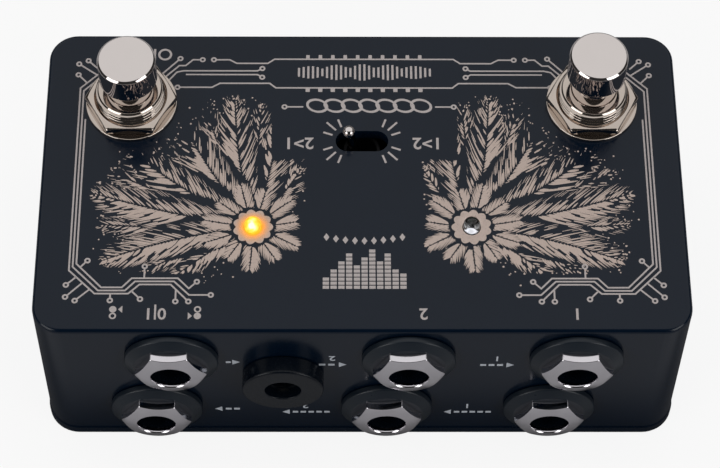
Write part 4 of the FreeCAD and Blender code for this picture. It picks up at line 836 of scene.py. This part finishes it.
class Ink:
    """Collects printed shapes, each a thin closed plate on a surface."""

    def __init__(self, surface, settings):
        self.bm = bmesh.new()
        self.surface = surface
        self.line_width = settings.line / MM
        self.pad_radius = settings.pad / MM
        self.height = settings.ink_height / MM

    def plate(self, outline, rise=0.0):
        """A filled shape, its outline given in millimetres."""
        top, foot = ([self.bm.verts.new(self.surface(u, v, lift)) for u, v in outline]
                     for lift in (self.height + rise, INK_FOOT))
        self.bm.faces.new(top)
        self.bm.faces.new(foot[::-1])
        for i in range(len(top)):
            j = (i + 1) % len(top)
            self.bm.faces.new((top[j], top[i], foot[i], foot[j]))

    def bar(self, left, low, right, high):
        self.plate([(left, low), (right, low), (right, high), (left, high)])

    def band(self, outer, inner, rise=0.0):
        """A closed band between two outlines with the same number of points."""
        for i in range(len(outer)):
            j = (i + 1) % len(outer)
            self.plate([outer[i], outer[j], inner[j], inner[i]], rise)

    def ring(self, u, v, outer, inner, rise=0.0, sides=20, stretch=1.0, slant=0.0):
        """A ring or oval, which may be stretched along U and slanted."""
        def points(radius):
            wide = outer * stretch - (outer - radius)
            return [(u + wide * math.cos(a) + slant * radius * math.sin(a), v + radius * math.sin(a))
                    for a in around(sides)]
        self.band(points(outer), points(inner), rise)

    def dot(self, u, v, radius, rise=0.0, sides=16):
        self.plate([(u + radius * math.cos(a), v + radius * math.sin(a)) for a in around(sides)], rise)

    def line(self, points, width=None, rise=0.0):
        """A line of one width through points, with mitred corners."""
        half = (width or self.line_width) / 2
        spots = [Vector(p) for p in points]
        left, right = [], []
        for i, spot in enumerate(spots):
            before = (spot - spots[i - 1]).normalized() if i else None
            after = (spots[i + 1] - spot).normalized() if i + 1 < len(spots) else None
            along = ((before or after) + (after or before)).normalized()
            across = Vector((-along.y, along.x)) * half / max(0.3, along.dot(before or after))
            left.append(spot + across)
            right.append(spot - across)
        for i in range(len(spots) - 1):
            self.plate([left[i], right[i], right[i + 1], left[i + 1]], rise)

    def blade(self, run, rise):
        """A stroke through points that each have a width of their own."""
        left, right = [], []
        for i, (spot, width) in enumerate(run):
            along = run[min(i + 1, len(run) - 1)][0] - run[max(i - 1, 0)][0]
            across = Vector((-along.y, along.x)).normalized() * width / 2
            left.append(spot + across)
            if width > 0.01:
                right.append(spot - across)
        self.plate([*left, *right[::-1]], rise)

    def pad_line(self, points, rise=0.0):
        """A line that ends in a ring."""
        spots = [Vector(p) for p in points]
        centre, near = spots[-1].copy(), spots[-2]
        self.ring(*centre, self.pad_radius, self.pad_radius * 0.42, rise + 0.004)
        spots[-1] = centre + (near - centre).normalized() * self.pad_radius * 0.8
        self.line(spots, rise=rise)


def mirrored(points, side, settings):
    """Points given for the left half, as they lie on one side of the print."""
    return [(settings.shift / MM - side * u, v) for u, v in points]


TRACES = [
    [(-50.1, 8.0), (-50.1, -18.4), (-45.55, -22.86), (-39.9, -22.86), (-38.05, -21.1), (-32.8, -21.1),
     (-29.72, -24.35)],
    [(-49.5, 8.0), (-49.5, -17.7), (-45.0, -22.26), (-40.45, -22.26), (-38.8, -20.5), (-32.25, -20.5),
     (-29.65, -23.1), (-25.98, -23.1)],
    [(-48.9, 8.0), (-48.9, -17.1), (-44.5, -21.66), (-41.0, -21.66), (-39.4, -19.9), (-31.6, -19.9),
     (-29.72, -21.86), (-28.4, -20.56)],
    [(-48.2, -17.75), (-47.05, -16.5)], [(-48.85, -19.7), (-50.45, -21.2)], [(-47.8, -20.9), (-50.45, -23.5)],
    [(-46.5, -22.1), (-48.8, -24.2)], [(-42.9, -22.9), (-42.9, -24.16)], [(-39.3, -22.4), (-37.85, -23.9)],
    [(-37.3, -19.9), (-37.3, -17.6)], [(-31.9, -22.2), (-31.9, -24.35)],
    [(-36.0, 21.3), (-32.66, 24.8)],
    [(-35.4, 20.7), (-32.8, 23.3), (-31.7, 23.3), (-30.4, 24.56), (-28.7, 24.56)],
    [(-47.2, 21.2), (-50.6, 23.6)], [(-49.0, 19.6), (-50.6, 21.3)], [(-47.2, 22.6), (-48.98, 24.3)],
    [(-31.6, 21.4), (-18.9, 21.4), (-18.05, 20.85)],
    [(-35.0, 19.6), (-33.2, 21.9), (-32.0, 22.2), (-18.9, 22.2), (-18.05, 22.7)],
]
OPEN_TRACES = [
    [(-50.1, 7.5), (-50.1, 18.5), (-46.5, 22.0)],
    [(-49.5, 7.5), (-49.5, 17.9), (-46.5, 20.9)],
    [(-48.9, 7.5), (-48.9, 12.0)],
]
BAND_TOP = [(-26.7, 24.56), (-23.9, 24.56), (-22.6, 23.8), (-17.1, 23.8), (-15.9, 24.7), (0.0, 24.7)]
BAND_FOOT = [(-33.0, 18.7), (-26.9, 18.7), (-25.5, 19.55), (-16.7, 19.55), (-15.6, 18.6), (0.0, 18.6)]


class PEDAL_OT_traces(bpy.types.Operator):
    """Print the conductor lines that frame the panel"""
    bl_idname = "pedal.traces"
    bl_label = "Border traces"

    def execute(self, context):
        settings = context.scene.pedal_print
        ink = Ink(on_panel, settings)
        for side in SIDES.values():
            for number, trace in enumerate(TRACES):
                ink.pad_line(mirrored(trace, side, settings), 0.001 * (number % 4))
            for trace in OPEN_TRACES:
                ink.line(mirrored(trace, side, settings), rise=0.0015)
        add_piece("border_traces", ink.bm, "lines", weighted=False)
        return {"FINISHED"}


class PEDAL_OT_title_band(bpy.types.Operator):
    """Print the toothed band, with a wave and a chain in it"""
    bl_idname = "pedal.title_band"
    bl_label = "Band at the far edge"

    def execute(self, context):
        settings = context.scene.pedal_print
        ink = Ink(on_panel, settings)
        for side in SIDES.values():
            for trace in (BAND_TOP, BAND_FOOT):
                ink.pad_line(mirrored(trace, side, settings)[::-1])
        teeth, pitch = 10, 2.215
        for tooth in range(teeth):
            u = settings.shift / MM + pitch * (tooth - (teeth - 1) / 2)
            for corners in ([(-0.34, 24.6), (0.34, 24.6), (0.3, 25.6), (-0.3, 25.6)],
                            [(-0.4, 18.7), (-0.36, 17.75), (0.36, 17.75), (0.4, 18.7)]):
                ink.plate([(u + across, v) for across, v in corners], 0.002)
        bars, pitch, wide, middle_u, middle_v = 29, 0.83, 0.19, 0.5, 21.9
        for bar in range(bars):
            along = bar - (bars - 1) / 2
            swell = 0.45 + 0.55 * abs(math.sin(0.55 * bar + 0.4)) * math.cos(0.085 * along)
            u, half = middle_u + along * pitch, 1.75 * swell
            ink.bar(u - wide, middle_v - half, u + wide, middle_v + half)
        links, pitch, middle_u, middle_v = 7, 3.05, 1.3, 14.85
        for link in range(links):
            u = middle_u + (link - (links - 1) / 2) * pitch
            ink.ring(u, middle_v, 1.5, 1.05, 0.0015 * (link % 2), sides=28, stretch=1.28, slant=-0.25)
        for side in SIDES.values():
            ink.pad_line([(middle_u + side * 11.6, 14.6), (middle_u + side * 14.9, 14.6)])
        add_piece("title_band", ink.bm, "lines", weighted=False)
        return {"FINISHED"}


def print_figures(ink, body, u, v, size):
    """Figures in the built-in typeface that read from the far side, as on the panel."""
    curve = bpy.data.curves.new("figures", "FONT")
    curve.body, curve.size, curve.offset = body, size, size * 0.018
    curve.align_x = curve.align_y = "CENTER"
    curve.resolution_u = 3
    carrier = add_object("figures", curve)
    flat = bpy.data.meshes.new_from_object(carrier.evaluated_get(bpy.context.evaluated_depsgraph_get()))
    for face in flat.polygons:
        corners = [flat.vertices[i].co for i in face.vertices]
        ink.plate([(u - corner.x, v - corner.y) for corner in corners])
    bpy.data.objects.remove(carrier)
    bpy.data.curves.remove(curve)
    bpy.data.meshes.remove(flat)


class PEDAL_OT_marks(bpy.types.Operator):
    """Print the numbers, arrows and the meter on the panel"""
    bl_idname = "pedal.marks"
    bl_label = "Panel marks"

    def execute(self, context):
        ink = Ink(on_panel, context.scene.pedal_print)
        for body, u, v, size in (("1>2", 11.4, 7.15, 3.3), ("2>1", -11.0, 7.15, 3.3), ("1", 36.0, -26.6, 3.0),
                                 ("2", 10.2, -26.6, 3.0), ("0|1", -34.8, -26.6, 3.0)):
            print_figures(ink, body, u, v, size)
        for u, ring_v, dot_v, tip, back in ((-41.9, -27.1, -25.85, -41.0, -40.3),
                                            (-27.7, -25.85, -27.1, -28.6, -29.3)):
            ink.ring(u, ring_v, 0.62, 0.34)
            ink.dot(u, dot_v, 0.62)
            ink.plate([(tip, dot_v), (back, dot_v + 0.68), (back, dot_v - 0.68)])
        ink.ring(-35.0, 25.65, 1.25, 0.86, sides=28)
        ink.bar(-37.0, 24.5, -36.62, 26.85)
        self.meter(ink, 0.35)
        self.rays(ink, PIVOT.y / MM)
        add_piece("panel_marks", ink.bm, "lines", weighted=False)
        return {"FINISHED"}

    def meter(self, ink, middle_u):
        """A level meter under an arc of diamonds."""
        heights, foot, column, row = (3, 5, 7, 9, 6, 8, 10, 7, 9, 5, 4), -21.9, 1.31, 0.78
        for number, height in enumerate(heights):
            u = middle_u + (number - 5) * column
            for v in (foot + step * row for step in range(height)):
                ink.bar(u - 0.53, v, u + 0.53, v + 0.6)
        diamonds, pitch, arc_foot, sag = 9, 1.62, -12.6, 0.018
        for number in range(diamonds):
            u = middle_u + (number - (diamonds - 1) / 2) * pitch
            v = arc_foot + sag * (u - middle_u) ** 2
            ink.plate([(u - 0.5, v), (u, v - 0.75), (u + 0.5, v), (u, v + 0.75)])

    def rays(self, ink, middle_v):
        """Rays at the four corners of the toggle's slot."""
        corner_u, corner_v, away_u, away_v, width = 2.7, 0.3, 2.6, 2.75, 0.36
        for side_u in (-1, 1):
            for side_v in (-1, 1):
                for turn, reach in ((20, 1.7), (45, 2.3), (70, 1.7)):
                    c, s = math.cos(math.radians(turn)), math.sin(math.radians(turn))
                    u, v = side_u * (corner_u + away_u * c), middle_v + side_v * (corner_v + away_v * s)
                    ink.line([(u, v), (u + side_u * reach * c, v + side_v * reach * s)], width)


class PEDAL_OT_socket_marks(bpy.types.Operator):
    """Print the numbers and arrows beside the sockets"""
    bl_idname = "pedal.socket_marks"
    bl_label = "Socket marks"

    def execute(self, context):
        ink = Ink(on_wall, context.scene.pedal_print)
        for u, v, figure, long, way in ((-22.1, 27.2, None, 2.4, 1), (-23.7, 9.5, None, 4.4, -1),
                                        (-5.05, 26.3, "2", 4.7, 1), (-9.8, 8.3, "2", 8.4, -1),
                                        (23.1, 26.2, "1", 5.8, 1), (18.8, 8.3, "1", 8.4, -1)):
            self.arrow(ink, u, v, long, way)
            if figure:
                print_figures(ink, figure, u - 0.1, v + 2.35, 2.3)
        add_piece("socket_marks", ink.bm, "label", weighted=False)
        return {"FINISHED"}

    def arrow(self, ink, u, v, long, way):
        """A dashed arrow that points to or from a socket."""
        half, dashes = 0.32, max(1, round(long / 1.5) - 1)
        start, step = u - way * long / 2, way * long / (dashes + 1)
        for dash in range(dashes):
            left = start + step * dash
            ink.bar(left, v - half, left + step * 0.7, v + half)
        tip = start + way * long
        ink.plate([(tip, v), (tip - way * 1.3, v + 0.85), (tip - way * 1.3, v - 0.85)])


# Blossoms of cut leaves round the lamps

PETALS = [(33 * k + 8, (8.8, 7.6)[k % 2], 3.5, (6, -6)[k % 2]) for k in range(11)]
LEAVES = [(-12, 27.0, 7.2, -16), (12, 29.0, 8.0, 9), (33, 26.5, 8.0, 12), (57, 25.0, 7.8, 10), (80, 27.0, 7.6, 12),
          (103, 21.5, 6.4, -8), (127, 14.5, 5.0, -12), (325, 17.0, 4.8, -10)]
FRONDS = [(0, 27.5, 5.4, 6), (23, 28.0, 5.6, 6), (46, 23.5, 5.4, 4), (69, 27.0, 5.4, 8), (92, 25.5, 5.2, 4),
          (115, 19.0, 4.6, -6), (-24, 21.0, 4.4, -10)]


class Leaf:
    """A leaf that starts at the lamp; bend turns its axis on the way to the tip."""

    def __init__(self, angle, long, wide, bend):
        self.long, self.wide = long, wide
        self.axis, spot, steps = [], Vector((0.0, 0.0)), 24
        for i in range(steps + 1):
            heading = math.radians(angle + bend * (i / steps - 0.3))
            self.axis.append((spot, heading))
            spot = spot + Vector((math.cos(heading), math.sin(heading))) * long / steps

    def at(self, t):
        """Point and heading at a share of the length."""
        along = min(max(t, 0.0), 0.999) * (len(self.axis) - 1)
        index = int(along)
        (start, heading), (end, _) = self.axis[index], self.axis[index + 1]
        return start.lerp(end, along - index), heading

    def half(self, t):
        """Half the blade's width at a share of the length."""
        return self.wide / 2 * math.sin(math.pi * min(1.0, max(0.0, t)) ** 0.8) ** 0.8

    def covers(self, point, margin):
        best = min(range(len(self.axis)), key=lambda i: (self.axis[i][0] - point).length_squared)
        reach = (self.axis[best][0] - point).length
        return reach < self.half(best / (len(self.axis) - 1)) + margin


class Bouquet:
    """Leaves printed on the panel round one lamp, the front ones first."""
    # Edges of the space for the leaves in millimetres: round the lamp, across the panel and along it
    COLLAR, MIDDLE, BORDER = 3.7, 10.0, 47.5
    FOOT, TRACES_FROM, FOOT_AT_TRACES, TOP = -21.5, 27.0, -19.1, 17.9
    BAND, BAND_FOOT = 16.2, 3.8
    # Bare strip along a rib, sweep of a barb, and how the strokes thin out near a footswitch
    RIB, SWEEP, DASHES, THIN_FROM, THIN_OVER, THIN_BY = 0.13, 0.16, 8, 15.5, 4, 0.72

    def __init__(self, ink, side, sign, seed):
        self.ink, self.sign = ink, sign
        self.draw = random.Random(seed)
        self.lamp = Vector((LAMPS[side].x / MM, LAMPS[side].y / MM))
        self.switch = Vector((SWITCHES[side].x / MM, SWITCHES[side].y / MM))
        self.laid = []

    def spot(self, point):
        return Vector((self.lamp.x + self.sign * point.x, self.lamp.y + point.y))

    def free(self, point, margin=0.22, clear=9.6):
        """Whether a point lies on bare panel, clear of earlier leaves and fittings."""
        spot = self.spot(point)
        out, foot = abs(spot.x - PRINT_SHIFT), self.FOOT_AT_TRACES if abs(spot.x) > self.TRACES_FROM else self.FOOT
        if point.length < self.COLLAR or (spot - self.switch).length < clear or not foot < spot.y < self.TOP:
            return False
        if not self.MIDDLE <= out <= self.BORDER or (out < self.BAND and spot.y > self.BAND_FOOT):
            return False
        return not any(leaf.covers(point, margin) for leaf in self.laid)

    def barb(self, leaf, t, way, slant, weight, step, breaks):
        """One tapering stroke from the rib to the edge, cut short where it meets something."""
        start, heading = leaf.at(t)
        half = leaf.half(t)
        turn = heading + way * slant
        out = Vector((math.cos(turn), math.sin(turn)))
        lean = Vector((math.cos(heading), math.sin(heading)))
        reach = half / math.sin(slant) * self.draw.uniform(0.82, 1.04)
        gap = self.RIB / math.sin(slant)
        swell, rise = self.draw.uniform(0.85, 1.1), 0.012 * self.draw.random()
        if reach < 2.5 * gap:
            return
        shares = [i / self.DASHES for i in range(self.DASHES + 1)]
        line = [start + out * (gap + (reach - gap) * k) + lean * reach * self.SWEEP * k * k for k in shares]
        widths = [step * weight * swell * min(1.0, 0.45 + 4 * k) * (1 - 0.85 * k ** 1.8) for k in shares]
        run, skip = [], 0
        for point, width in zip(line, widths):
            near = (self.THIN_FROM - (self.spot(point) - self.switch).length) / self.THIN_OVER
            thin = self.THIN_BY * max(0.0, min(1.0, near))
            if skip or not self.free(point) or self.draw.random() < thin:
                skip = max(0, skip - 1)
                self.stroke(run, rise)
                run = []
                continue
            run.append((self.spot(point), width))
            if len(run) > 2 and self.draw.random() < breaks:
                skip = 1
        self.stroke(run, rise)

    def stroke(self, run, rise):
        """Print one dash, thinned at both ends."""
        if len(run) > 1:
            ends = [(run[0][0], run[0][1] * 0.5), *run[1:-1], (run[-1][0], run[-1][1] * 0.35)]
            self.ink.blade(ends, rise)

    def lay(self, shape, step, slant, weights, breaks):
        """Fill a leaf with barbs; the two halves have their own weights, so that one side looks lit."""
        leaf = Leaf(*shape)
        rows = int(leaf.long / step)
        spacing = leaf.long / rows * 1.12
        for row in range(2, rows):
            for way, weight in zip((-1, 1), weights):
                t = (row + 0.5 * self.draw.random()) / rows
                if self.draw.random() > breaks * (0.1 + t):
                    self.barb(leaf, t, way, slant * (1.1 - 0.3 * t), weight * (1.0 - 0.25 * t), spacing, breaks)
        return leaf

    def rosette(self):
        """A solid collar with a scalloped edge round the lamp, under the petals."""
        angles, hole, collar, scallop = around(132), 1.6, 2.9, 0.55
        self.ink.band([self.spot(polar(collar + scallop * abs(math.sin(5.5 * a)), a)) for a in angles],
                      [self.spot(polar(hole, a)) for a in angles])

    def stipple(self, leaves):
        """Dots that fade out past the edges of the long leaves."""
        dots = 70
        for leaf in leaves:
            for _ in range(dots):
                start, heading = leaf.at(self.draw.uniform(0.35, 1.0))
                across = self.draw.gauss(0, 0.5) * leaf.wide
                point = start + Vector((-math.sin(heading), math.cos(heading))) * across
                size, rise = self.draw.uniform(0.08, 0.2), 0.01 * self.draw.random()
                if self.free(point, 0.3, 9.3):
                    self.ink.dot(*self.spot(point), size, rise, sides=6)


class PEDAL_OT_blossoms(bpy.types.Operator):
    """Print the leaves round each lamp"""
    bl_idname = "pedal.blossoms"
    bl_label = "Leaves round the lamps"

    def execute(self, context):
        settings = context.scene.pedal_print
        for side, sign in SIDES.items():
            bouquet = Bouquet(Ink(on_panel, settings), side, sign, settings.seed)
            bouquet.rosette()
            for shapes, step, slant, weights, breaks in ((PETALS, 0.5, 0.62, (1.0, 0.7), 0.0),
                                                         (LEAVES, 0.6, 0.6, (0.88, 0.5), 0.27),
                                                         (FRONDS, 0.62, 0.5, (0.55, 0.42), 0.42)):
                for shape in shapes:
                    bouquet.laid.append(bouquet.lay(shape, step, slant, weights, breaks))
            bouquet.stipple(bouquet.laid[len(PETALS):])
            add_piece(f"lamp_leaves_{side}", bouquet.ink.bm, "ink", weighted=False)
        return {"FINISHED"}


# Floor, light and camera

class PEDAL_OT_studio(bpy.types.Operator):
    """Set up the floor, the soft lights and the camera"""
    bl_idname = "pedal.studio"
    bl_label = "Studio"

    def execute(self, context):
        studio = context.scene.pedal_studio
        self.floor(studio)
        self.lights(studio)
        self.camera(studio)
        context.scene.view_settings.view_transform = "Standard"
        return {"FINISHED"}

    def floor(self, studio):
        """A pale floor that keeps the pedal's shadow and looks dim in metal and gloss, with painted shade near the
        box's foot.
        """
        flat_share, half_size = 0.88, 4.0
        made = bpy.data.materials.new("floor_paper")
        tree = emptied(made)
        path, seen = self.seen(tree)
        shade = self.foot_shade(tree, studio)
        gloss = calculate(tree, "MULTIPLY", calculate(tree, "POWER", shade, 2.0), studio.mirrored)
        bounce = put(tree, "VectorMath", {0: studio.bounce, "Scale": shade}, operation="SCALE").outputs[0]
        tone = put(tree, "Mix", {"Factor": seen, "A": bounce, "B": opaque(studio.floor)}, data_type="RGBA")
        paper = put(tree, "BsdfDiffuse", {"Color": tone.outputs["Result"]})
        bright = put(tree, "Emission", {"Color": opaque([studio.backdrop] * 3), "Strength": 1.0})
        shown = calculate(tree, "MAXIMUM", calculate(tree, "MULTIPLY", seen, flat_share),
                          calculate(tree, "MULTIPLY", path["Is Glossy Ray"], gloss))
        mixed = put(tree, "MixShader", {0: shown, 1: paper.outputs[0], 2: bright.outputs[0]})
        put(tree, "OutputMaterial", {"Surface": mixed.outputs[0]})
        bm = bmesh.new()
        bmesh.ops.create_grid(bm, x_segments=4, y_segments=4, size=half_size)
        add_mesh("floor", bm, made)

    def seen(self, tree):
        """The kinds of ray, and whether this one shows the backdrop to the camera, straight or through a lens."""
        path = put(tree, "LightPath").outputs
        return path, calculate(tree, "MAXIMUM", path["Is Camera Ray"], path["Is Transmission Ray"])

    def foot_shade(self, tree, studio):
        """A factor for painted shade: it darkens the floor's bounced light and gloss close to the box's foot and
        leaves them alone further out.
        """
        sides, front = CAD_BOX[1].x, -CAD_BOX[0].y - 3.8 * MM
        fade_at_sides, fade_in_front = 11.0, 75.0
        past = vector(tree, "SUBTRACT", vector(tree, "ABSOLUTE", object_point(tree)), (sides, front, 0.0))
        away = vector(tree, "MULTIPLY", vector(tree, "MAXIMUM", past, (0.0, 0.0, 0.0)),
                      (fade_at_sides, fade_in_front, 0.0))
        return put(tree, "MapRange", {"Value": distance(tree, away), "To Min": studio.foot_shade, "To Max": 1.0},
                   interpolation_type="SMOOTHSTEP").outputs["Result"]

    def lights(self, studio):
        """One wide light overhead and a light at each side of the camera, in a dim room."""
        world = bpy.data.worlds.new("room")
        bpy.context.scene.world = world
        tree = emptied(world)
        path, seen = self.seen(tree)
        shown = calculate(tree, "MAXIMUM", seen, calculate(tree, "MULTIPLY", path["Is Glossy Ray"], studio.room))
        strength_here = calculate(tree, "MAXIMUM", calculate(tree, "MULTIPLY", shown, studio.backdrop), studio.room)
        backdrop = put(tree, "Background", {"Color": (1.0, 1.0, 1.0, 1.0), "Strength": strength_here})
        put(tree, "OutputWorld", {"Surface": backdrop.outputs[0]})
        self.softbox("ceiling_light", (0.0, 0.69, 0.85), (0.0, 0.59, 0.0), (3.2, 2.22), studio.ceiling)
        for side, sign in SIDES.items():
            self.softbox(f"side_light_{side}", (sign * 0.78, -0.656, 0.43), (0.0, 0.0, 0.03), (0.66, 0.6),
                         studio.sides)

    def softbox(self, name, where, towards, size, radiance):
        light = bpy.data.lights.new(name, "AREA")
        light.shape = "RECTANGLE"
        light.size, light.size_y = size
        light.energy = radiance * math.pi * size[0] * size[1]
        carrier = add_object(name, light)
        carrier.location = where
        carrier.rotation_euler = (Vector(towards) - Vector(where)).to_track_quat("-Z", "Y").to_euler()

    def camera(self, studio):
        """The photograph's view: high over the socket side."""
        az, el = studio.azimuth, studio.elevation
        back = Vector((math.sin(az) * math.cos(el), -math.cos(az) * math.cos(el), math.sin(el)))
        level = Vector((math.cos(az), math.sin(az), 0.0))
        rise = back.cross(level)
        right = level * math.cos(studio.roll) + rise * math.sin(studio.roll)
        up = rise * math.cos(studio.roll) - level * math.sin(studio.roll)
        target = Vector((-0.000016, 0.010824, 0.0))
        data = bpy.data.cameras.new("camera")
        data.sensor_width = 36.0
        data.lens = studio.lens
        data.clip_start, data.clip_end = 0.01, 20.0
        carrier = add_object("camera", data)
        turn = Matrix((right, up, back)).transposed().to_4x4()
        carrier.matrix_world = Matrix.Translation(target + back * studio.distance) @ turn
        bpy.context.scene.camera = carrier


STEPS = ("studio", "node_finishes", "sockets", "power_inlet", "footswitches", "toggle", "lamps", "traces",
         "title_band", "marks", "socket_marks", "blossoms")


class PEDAL_PT_panel(bpy.types.Panel):
    """Steps that dress the pedal, and the values that they use"""
    bl_idname = "PEDAL_PT_panel"
    bl_label = "Loop switcher pedal"
    bl_space_type = "VIEW_3D"
    bl_region_type = "UI"
    bl_category = "Pedal"

    def draw(self, context):
        for step in STEPS:
            self.layout.operator(f"pedal.{step}")
        for name in GROUPS:
            for prop in getattr(context.scene, name).bl_rna.properties:
                if prop.identifier not in ("name", "rna_type"):
                    self.layout.prop(getattr(context.scene, name), prop.identifier)


GROUPS = {"pedal_finish": PedalFinish, "pedal_hardware": PedalHardware, "pedal_print": PedalPrint,
          "pedal_lamps": PedalLamps, "pedal_studio": PedalStudio}
CLASSES = (*GROUPS.values(), PEDAL_OT_node_finishes, PEDAL_OT_sockets, PEDAL_OT_power_inlet, PEDAL_OT_footswitches,
           PEDAL_OT_toggle, PEDAL_OT_lamps, PEDAL_OT_traces, PEDAL_OT_title_band, PEDAL_OT_marks,
           PEDAL_OT_socket_marks, PEDAL_OT_blossoms, PEDAL_OT_studio, PEDAL_PT_panel)


def register():
    for made in CLASSES:
        bpy.utils.register_class(made)
    for name, made in GROUPS.items():
        setattr(bpy.types.Scene, name, PointerProperty(type=made))


def unregister():
    for name in GROUPS:
        delattr(bpy.types.Scene, name)
    for made in reversed(CLASSES):
        bpy.utils.unregister_class(made)


def main():
    register()
    for step in STEPS:
        getattr(bpy.ops.pedal, step)()


if __name__ == "__main__":
    main()
